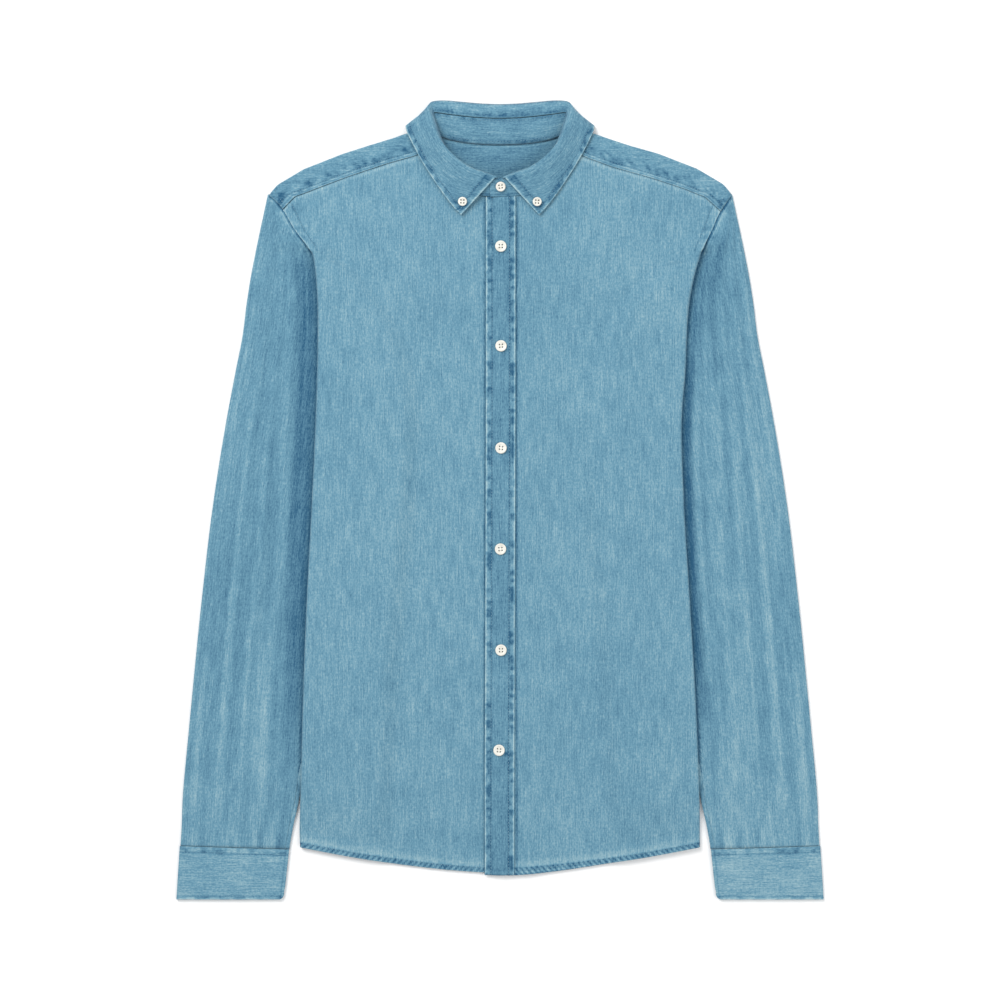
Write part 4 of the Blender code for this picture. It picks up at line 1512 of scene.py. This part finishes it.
@dataclass
class Cuff:
    """One cuff: a folded band with rounded lower corners at its opening."""

    side: Side
    wall: float = 1.6
    outer: float = 320.6
    inner: float = 211.0
    corner: float = 5.0
    top: StitchedEdge = field(default_factory=lambda: StitchedEdge(
        band=6.5, rise=0.25, lines=(0.6, 6.0), pucker=0.6, dark=1.2, light=0.6, pitch=8.0,
        seed=4.0))
    foot: StitchedEdge = field(default_factory=lambda: StitchedEdge(
        band=3.4, rise=0.15, lines=(3.2,), pucker=0.25, dark=0.8, light=0.6, pitch=6.0, seed=6.0))

    def sheet(self) -> Sheet:
        """Shape the cuff, its top, its fold and its underside.

        Returns:
            The cuff's sheet.
        """
        depths = np.concatenate((steps((0.0, 0.14), (0.012,)), steps((0.14, 0.86), (0.035,))[1:],
                                 steps((0.86, 1.0), (0.012,))[1:]))
        rim = np.array((0.0, 0.3, 0.8, 1.5, 2.3, 3.2, 4.2, 5.2))
        flat = np.linspace(0.0, 1.0, 44)[1:]
        turn = np.linspace(0.0, 1.0, 9)[1:]
        rows = []
        low, high = self.wall / 2, self.wall * 1.5 + GAP
        radius = (high - low) / 2
        for depth in depths[::-1]:
            outer = self.outer + 3.4 * depth
            inner = self.inner + 5.4 * depth
            centre = outer - self.wall / 2 - radius
            top_x = np.concatenate((inner + rim, inner + 5.2 + (centre - inner - 5.2) * flat))
            x = np.concatenate((top_x, centre + radius * np.sin(math.pi * turn), top_x[::-1][1:]))
            z = np.concatenate((np.full(len(top_x), high),
                                low + radius * (1 + np.cos(math.pi * turn)),
                                np.full(len(top_x) - 1, low)))
            top = -346.2 - 3.4 * (outer - x) / 110.0
            y = top + (CUFF_Y - top) * depth
            corner = np.maximum(0.0, self.corner - (x - inner))
            cut = self.corner - np.sqrt(np.maximum(0.0, self.corner ** 2 - corner ** 2))
            y = y + cut * smooth((depth - 0.7) / 0.3)
            above = np.arange(len(x)) < len(top_x) + 3
            dz1, w1 = self.top.shape(top - y, x)
            dz2, w2 = self.foot.shape(y - CUFF_Y, x)
            dz3 = hump(x - inner - 3.2, 0.8)
            ripple = 0.16 * NOISE.at(x, y, 22.0, 9.0)
            z = z + np.where(above, dz1 + dz2 - 0.2 * dz3 + ripple, 0.0)
            tone = np.where(above, w1 + w2 - 0.5 * dz3 + 0.27, 0.0)
            rows.append(np.stack((self.side.value * x, y, z, tone, top - y), axis=-1))
        data = np.array(rows)
        shown = data[:, :len(top_x) + 2]
        seams = [contour(shown[..., :3], shown[..., 4], self.top.lines[1], 0),
                 contour(shown[..., :3], shown[..., 1], CUFF_Y + self.foot.lines[0], 0)]
        return Sheet(data[..., :3], np.stack((data[..., 1] + 500.0, data[..., 0]), axis=-1),
                     data[..., 3], seams)


@dataclass
class Collar:
    """The collar: a stand round the neck and a leaf that rolls over it."""

    stand_high: float = 27.0
    roll: float = 9.0
    edge: StitchedEdge = field(default_factory=lambda: StitchedEdge(
        band=5.6, rise=0.25, lines=(5.4,), pucker=0.5, dark=1.15, light=1.0, pitch=7.0, seed=1.0))

    @staticmethod
    def station(spot: Array) -> Array:
        """Collar stations at places from one front end round to the other.

        Args:
            spot: places from 0 to twice the last station.

        Returns:
            The numbers of each place, on a smooth curve through the stations.
        """
        mirrored = COLLAR[::-1][1:].copy()
        first = COLLAR.copy()
        for column in (0, 3, 6, 9):
            first[:, column] *= -1.0
        table = np.concatenate((first, mirrored))
        tangent = np.gradient(table, axis=0)
        base = np.clip(np.floor(spot).astype(int), 0, len(table) - 2)
        part = (spot - base)[:, None]
        p0, p1, m0, m1 = table[base], table[base + 1], tangent[base], tangent[base + 1]
        return ((2 * part ** 3 - 3 * part ** 2 + 1) * p0 + (part ** 3 - 2 * part ** 2 + part) * m0
                + (-2 * part ** 3 + 3 * part ** 2) * p1 + (part ** 3 - part ** 2) * m1)

    def stand(self) -> Sheet:
        """Shape the stand, its ends crossed at the front.

        Returns:
            The stand's sheet.
        """
        end = 2 * (len(COLLAR) - 1)
        spots = steps((0.0, 1.0, end - 1.0, end), (0.05, 0.1, 0.05))
        data = self.station(spots)
        low, high = data[:, 0:3].copy(), data[:, 3:6].copy()
        share = steps((0.0, 0.12, 0.88, 1.0), (0.03, 0.06, 0.03))
        first = np.clip(1.0 - spots, 0.0, 1.0)
        final = np.clip(spots - (end - 1.0), 0.0, 1.0)
        for line in (low, high):
            line[:, 0] = line[:, 0] * (1 - first) * (1 - final) + first * 9.5 - final * 10.5
            line[:, 2] += first * (0.4 - 0.9 - LAYER / 2) + final * (0.4 + LAYER / 2)
        low[:, 0] += final * 0.6
        rows, wash, cloth = [], [], []
        length = np.concatenate(([0.0], np.cumsum(np.linalg.norm(np.diff(low, axis=0), axis=1))))
        for part in share:
            line = low * (1 - part) + high * part
            line[:, 2] += 0.8 * math.sin(math.pi * part) * (1 - final)
            inside = np.clip(spots - 3.0, 0, 1) * np.clip(end - 3.0 - spots, 0, 1)
            line[:, 2] -= 1.5 * max(0.0, 1.0 - part / 0.06) * inside
            spotty = SPOTS.at(length, np.full_like(length, part * 20.0), 5.0, 6.0)
            near = float(max(hump((part - at) * 26.0, 2.2) for at in (0.06, 0.94)))
            line[:, 2] += 0.25 * near * spotty
            rows.append(line)
            cloth.append(np.stack((np.full_like(length, part * self.stand_high + 900.0), length),
                                  axis=-1))
            wash.append(-0.15 + near * (0.6 * spotty - 0.35)
                        - 0.5 * float(hump((part - 0.12) * self.stand_high, 0.8)))
        points = np.array(rows)
        above = np.broadcast_to(share[:, None] * self.stand_high, points.shape[:2])
        seams = [contour(points[:, 30:-30], above[:, 30:-30], 3.2, 0),
                 contour(points, above, 24.6, 0)]
        return Sheet(points.transpose(1, 0, 2), np.array(cloth).transpose(1, 0, 2),
                     np.array(wash).T, seams)

    def leaf(self) -> Sheet:
        """Shape the leaf from its seam over the roll to its free edge.

        Returns:
            The leaf's sheet.
        """
        end = 2 * (len(COLLAR) - 1)
        spots = steps((0.0, 0.4, end - 0.4, end), (0.04, 0.1, 0.04))
        data = self.station(spots)
        stand, top, roll, out = (data[:, k:k + 3] for k in (0, 3, 6, 9))
        along = top - stand
        along /= np.linalg.norm(along, axis=1)[:, None]
        start = top + along * 0.7
        start[:, 2] += 0.6 + 1.3 * (hump(spots, 0.8) + hump(spots - end, 0.8))
        inner = steps((0.0, 0.25, 1.0), (0.08, 0.12))
        outer = steps((0.0, 0.7, 0.96, 1.0), (0.05, 0.035, 0.02))[1:]
        length = np.concatenate(([0.0], np.cumsum(np.linalg.norm(np.diff(out, axis=0), axis=1))))
        reach = np.linalg.norm(out - roll, axis=1)
        flat = smooth((out[:, 2] - 1.0) / 3.0)
        rows, wash, cloth, aways = [], [], [], []
        from_end = np.minimum(spots, end - spots)
        side_run = np.where(from_end < 8.0, from_end * 8.6, 70.0)
        for part in inner:
            line = start * (1 - part) + roll * part
            line[:, 2] += 0.9 * math.sin(math.pi * part)
            near = float(hump(part * self.roll - 2.5, 1.4))
            spotty = SPOTS.at(length, np.full_like(length, 3.0), 5.0, 6.0)
            line[:, 2] += 0.2 * spotty * near
            rows.append(line)
            cloth.append(np.stack((np.full_like(length, part * self.roll), length), axis=-1))
            groove = float(hump(part * self.roll - 1.2, 0.7))
            wash.append(near * (spotty * 0.7 - 0.4) - 0.7 * groove)
            aways.append(np.full_like(length, 99.0))
        for part in outer:
            line = roll * (1 - part) + out * part
            drape = 0.5 * part + 0.5 * float(smooth(part))
            under = min(1.0, 2.2 * part)
            share = drape * flat + under * (1 - flat)
            line[:, 2] = roll[:, 2] + (out[:, 2] - roll[:, 2]) * share
            away = reach * (1 - part)
            dz, tone = self.edge.shape(away, length)
            dz2, tone2 = self.edge.shape(side_run * 0.92, reach * part)
            closed = np.where(from_end < 2.0, 1.0, 0.0)
            line[:, 2] += (dz + dz2 * closed) * flat
            rows.append(line)
            cloth.append(np.stack((self.roll + reach * part, length), axis=-1))
            wash.append((tone + tone2 * closed) * flat - 0.1)
            aways.append(away)
        points, aways = np.array(rows), np.array(aways)
        half = len(spots) // 2
        visible = np.nonzero(flat > 0.5)[0]
        left, right = visible[visible < half], visible[visible > half]
        seams = [contour(points[:, part], aways[:, part], self.edge.lines[0], 0)
                 for part in (left, right)]
        for spot in (0.68, end - 0.68):
            seams.append(points[len(inner) + 3:-2, int(np.argmin(np.abs(spots - spot)))])
        return Sheet(points.transpose(1, 0, 2), np.array(cloth).transpose(1, 0, 2),
                     np.array(wash).T, seams)


@dataclass
class Button:
    """A four-hole shirt button with its thread."""

    size: float
    high: float = 2.4
    hole: float = 0.82
    spread: float = 1.4
    rounding: float = 0.75
    dished: float = 0.55
    rim: float = 0.16
    slope: float = 0.12
    thread: float = 0.22

    def model(self, shell: bpy.types.Material, thread: bpy.types.Material) -> bpy.types.Object:
        """Model one button standing on the floor of its own space.

        Args:
            shell: finish of the disc.
            thread: finish of the sewing thread.

        Returns:
            The button, its base at Z = 0.
        """
        deselect_all()
        radius = self.size / 2
        bpy.ops.mesh.primitive_cylinder_add(vertices=48, radius=radius * MM, depth=self.high * MM,
                                            location=(0, 0, self.high * MM / 2))
        disc = bpy.context.object
        bevel = disc.modifiers.new("rounding", "BEVEL")
        bevel.width, bevel.segments = self.rounding * MM, 4
        bevel.limit_method, bevel.angle_limit = "ANGLE", math.radians(30)
        apply_modifiers(disc)
        self.dish(disc, radius)
        deselect_all()
        for x in (-1, 1):
            for y in (-1, 1):
                self.drill(disc, x * self.spread, y * self.spread)
        threads = [self.stitch(y * self.spread, thread) for y in (-1, 1)]
        disc.data.materials.clear()
        disc.data.materials.append(shell)
        deselect_all()
        for piece in threads:
            piece.select_set(True)
        disc.select_set(True)
        bpy.context.view_layer.objects.active = disc
        bpy.ops.object.join()
        disc.data.shade_smooth()
        disc.data.set_sharp_from_angle(angle=math.radians(50))
        return disc

    def dish(self, disc: bpy.types.Object, radius: float) -> None:
        """Sink the middle of the face below a raised rim.

        Args:
            disc: the button's disc, changed in place.
            radius: its radius in millimetres.
        """
        bpy.ops.object.mode_set(mode="EDIT")
        bpy.ops.mesh.select_mode(type="FACE")
        bpy.ops.mesh.select_all(action="DESELECT")
        bpy.ops.object.mode_set(mode="OBJECT")
        top = max(disc.data.polygons, key=lambda p: p.center.z * 1000 + p.area * 1e6 * p.normal.z)
        top.select = True
        bpy.ops.object.mode_set(mode="EDIT")
        bpy.ops.mesh.inset(thickness=radius * self.rim * MM)
        bpy.ops.mesh.inset(thickness=radius * self.slope * MM, depth=-self.dished * MM)
        bpy.ops.object.mode_set(mode="OBJECT")

    def drill(self, disc: bpy.types.Object, x: float, y: float) -> None:
        """Cut one hole.

        Args:
            disc: the button's disc, changed in place.
            x: the hole's place across, in millimetres.
            y: its place along.
        """
        bpy.ops.mesh.primitive_cylinder_add(vertices=14, radius=self.hole * MM,
                                            depth=self.high * 3 * MM,
                                            location=(x * MM, y * MM, self.high * MM / 2))
        bit = bpy.context.object
        cut = disc.modifiers.new("hole", "BOOLEAN")
        cut.operation, cut.solver, cut.object = "DIFFERENCE", "EXACT", bit
        apply_modifiers(disc)
        bpy.data.objects.remove(bit, do_unlink=True)
        deselect_all()

    def stitch(self, y: float, finish: bpy.types.Material) -> bpy.types.Object:
        """One bar of thread between two holes.

        Args:
            y: the bar's place along, in millimetres.
            finish: the thread's material.

        Returns:
            The bar, its ends down in the holes.
        """
        points = 9
        curve = bpy.data.curves.new("bar", "CURVE")
        curve.dimensions = "3D"
        curve.bevel_depth, curve.bevel_resolution = self.thread * MM, 2
        curve.use_fill_caps = True
        spline = curve.splines.new("POLY")
        spline.points.add(points - 1)
        for number in range(points):
            part = number / (points - 1) * 2 - 1
            height = self.high - self.dished - 1.6 * abs(part) ** 6 + 0.32 * (1 - part * part)
            spline.points[number].co = (part * self.spread * MM, y * MM, height * MM, 1.0)
        bar = bpy.data.objects.new("bar", curve)
        mesh = bpy.data.meshes.new_from_object(bar)
        bpy.data.objects.remove(bar, do_unlink=True)
        made = bpy.data.objects.new("bar", mesh)
        bpy.context.scene.collection.objects.link(made)
        mesh.materials.clear()
        mesh.materials.append(finish)
        return made


class Studio:
    """Floor, light and camera."""

    @staticmethod
    def floor() -> None:
        """A plain pale floor."""
        deselect_all()
        bpy.ops.mesh.primitive_plane_add(size=60.0, location=(0.0, 0.0, -0.0006))
        floor = bpy.context.object
        floor.name = "floor"
        pale = bpy.data.materials.new("pale_floor")
        pale.use_nodes = True
        shader = pale.node_tree.nodes["Principled BSDF"]
        shader.inputs["Base Color"].default_value = (0.93, 0.93, 0.93, 1.0)
        shader.inputs["Roughness"].default_value = 0.9
        shader.inputs["Specular IOR Level"].default_value = 0.0
        floor.data.materials.append(pale)

    @staticmethod
    def area(name: str, place: tuple[float, float, float], size: float, power: float) -> None:
        """A soft square light aimed at the shirt's middle.

        Args:
            name: the light's name.
            place: where it hangs, in metres.
            size: its side in metres.
            power: its power in watts.
        """
        light = bpy.data.lights.new(name, "AREA")
        light.size, light.energy = size, power
        lamp = bpy.data.objects.new(name, light)
        bpy.context.scene.collection.objects.link(lamp)
        lamp.location = place
        lamp.rotation_euler = (-Vector(place)).to_track_quat("-Z", "Y").to_euler()

    @classmethod
    def set_up(cls) -> None:
        """Place everything that isn't the shirt."""
        cls.floor()
        cls.area("key", (-1.2, 1.35, 2.3), 1.5, 58.0)
        cls.area("fill", (1.9, -0.4, 2.2), 2.4, 30.0)
        world = bpy.data.worlds.new("studio")
        world.use_nodes = True
        sky = world.node_tree.nodes["Background"]
        sky.inputs["Color"].default_value = (1.0, 1.0, 1.0, 1.0)
        sky.inputs["Strength"].default_value = 0.62
        bpy.context.scene.world = world
        bpy.context.scene.view_settings.view_transform = "Standard"
        camera = bpy.data.cameras.new("camera")
        camera.lens, camera.sensor_width = 108.0, 36.0
        camera.clip_end = 20.0
        view = bpy.data.objects.new("camera", camera)
        view.location = (0.0, 0.0, 3.004)
        bpy.context.scene.collection.objects.link(view)
        bpy.context.scene.camera = view


@dataclass
class Shirt:
    """The whole shirt, built piece by piece."""

    body: Body = field(default_factory=Body)
    placket: Placket = field(default_factory=Placket)
    yoke: Yoke = field(default_factory=Yoke)
    collar: Collar = field(default_factory=Collar)
    thread: bpy.types.Material | None = None

    def place(self, name: str, sheet: Sheet, finish: bpy.types.Material, node: str,
              flat: tuple[float, float] | None, area: float | None = None,
              thickness: float = CLOTH - 0.1,
              carries: Sequence[bpy.types.Object] = ()) -> bpy.types.Object:
        """Make a sheet, sew its topstitching and hide its solid.

        Args:
            name: the piece's name.
            sheet: its shape.
            finish: its denim.
            node: the CAD node it stands for.
            flat: width and length of the cut in metres, or None where a larger cut carries it; not
                used.
            area: the cut's area where it isn't a rectangle; not used.
            thickness: wall in millimetres.
            carries: narrow pieces sewn to this one.

        Returns:
            The piece.
        """
        piece = sheet_object(name, sheet, finish, thickness)
        carries = list(carries)
        if sheet.seams:
            label = name.replace("shirt_", "")
            sewing = Stitching().sew(f"stitching_{label}", sheet.seams, self.thread)
            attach(sewing, "root")
            carries.append(sewing)
        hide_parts(node)
        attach(piece, "root")
        LOG.info("%s: %d faces", name, len(piece.data.polygons))
        return piece

    def build(self) -> None:
        """Build and dress every piece."""
        weave = denim_weave_group()
        panel = DenimFinish("denim_panel").material(weave)
        trim = DenimFinish("denim_trim", streaks=1.1, clouds=1.3, shift=-0.03).material(weave)
        inner = DenimFinish("denim_inside", mid=(0.124, 0.272, 0.370)).material(weave)
        self.thread = ButtonFinish("blue_thread", (0.26, 0.42, 0.50), (0.10, 0.24, 0.33),
                                   0.85).material()
        for side in Side:
            label = side.name.lower()
            width, area = (0.285, 0.186) if side is Side.RIGHT else (0.262, 0.171)
            self.place(f"shirt_front_{label}", self.body.front(side), panel, f"front_{label}",
                       (width, 0.725), area)
        self.place("shirt_back", self.body.back(), inner, "back", (0.54, 0.64), 0.325)
        self.place("shirt_placket", self.placket.sheet(), trim, "placket", (0.03, 0.675))
        self.place("shirt_yoke", self.yoke.sheet(self.body), trim, "yoke", (0.463, 0.16), 0.047)
        for side in Side:
            label = side.name.lower()
            sleeve = Sleeve(side)
            binding = self.place(f"vent_binding_{label}", sleeve.binding(), trim,
                                 f"vent_{label}", None, None, 1.0)
            self.place(f"shirt_sleeve_{label}", sleeve.sheet(), panel, f"sleeve_{label}",
                       (0.345, 0.65), 0.17, carries=(binding,))
            self.place(f"shirt_cuff_{label}", Cuff(side).sheet(), trim, f"cuff_{label}",
                       (0.22, 0.053), None, 1.5)
        self.place("shirt_collar_stand", self.collar.stand(), trim, "collar_stand", (0.4, 0.027),
                   0.0083)
        self.place("shirt_collar_leaf", self.collar.leaf(), trim, "collar_leaf", (0.46, 0.056),
                   0.0185)
        self.buttons()

    def buttons(self) -> None:
        """Sew the buttons on."""
        shell = ButtonFinish("button_shell").material()
        thread = ButtonFinish("button_thread", (0.86, 0.85, 0.8), (0.6, 0.58, 0.52),
                              0.9).material()
        front = ((0.8, 253.4), (1.0, 154.0), (1.0, 52.0), (0.5, -49.0), (1.0, -150.0),
                 (-1.0, -250.0))
        spots = []
        for number, (x, y) in enumerate(front, 1):
            base = float(self.placket.height(np.array(x), y)) + 0.95
            spots.append((f"button_front_{number}", (x, y, base), 11.4, (0.0, 0.0)))
        spots += [("button_stand", (0.6, 312.7, 12.75), 9.8, (0.22, 0.0)),
                  ("button_tip_right", (-37.3, 298.0, 10.9), 9.0, (0.15, -0.1)),
                  ("button_tip_left", (36.9, 297.8, 11.0), 9.0, (0.15, 0.11))]
        for number, (node, place, size, tilt) in enumerate(spots):
            piece = Button(size).model(shell, thread)
            piece.name = f"shirt_{node}"
            turn = Euler((*tilt, 0.12 * math.sin(number * 2.3))).to_matrix().to_4x4()
            piece.data.transform(Matrix.Translation([v * MM for v in place]) @ turn
                                 @ piece.matrix_world)
            piece.matrix_world = Matrix.Identity(4)
            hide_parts(node)
            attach(piece, "root")
            LOG.info("%s placed", piece.name)


def main() -> None:
    """Load the frame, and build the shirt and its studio."""
    logging.basicConfig(level=logging.INFO, format="%(name)s %(message)s")
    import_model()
    Studio.set_up()
    Shirt().build()


if __name__ == "__main__":
    main()
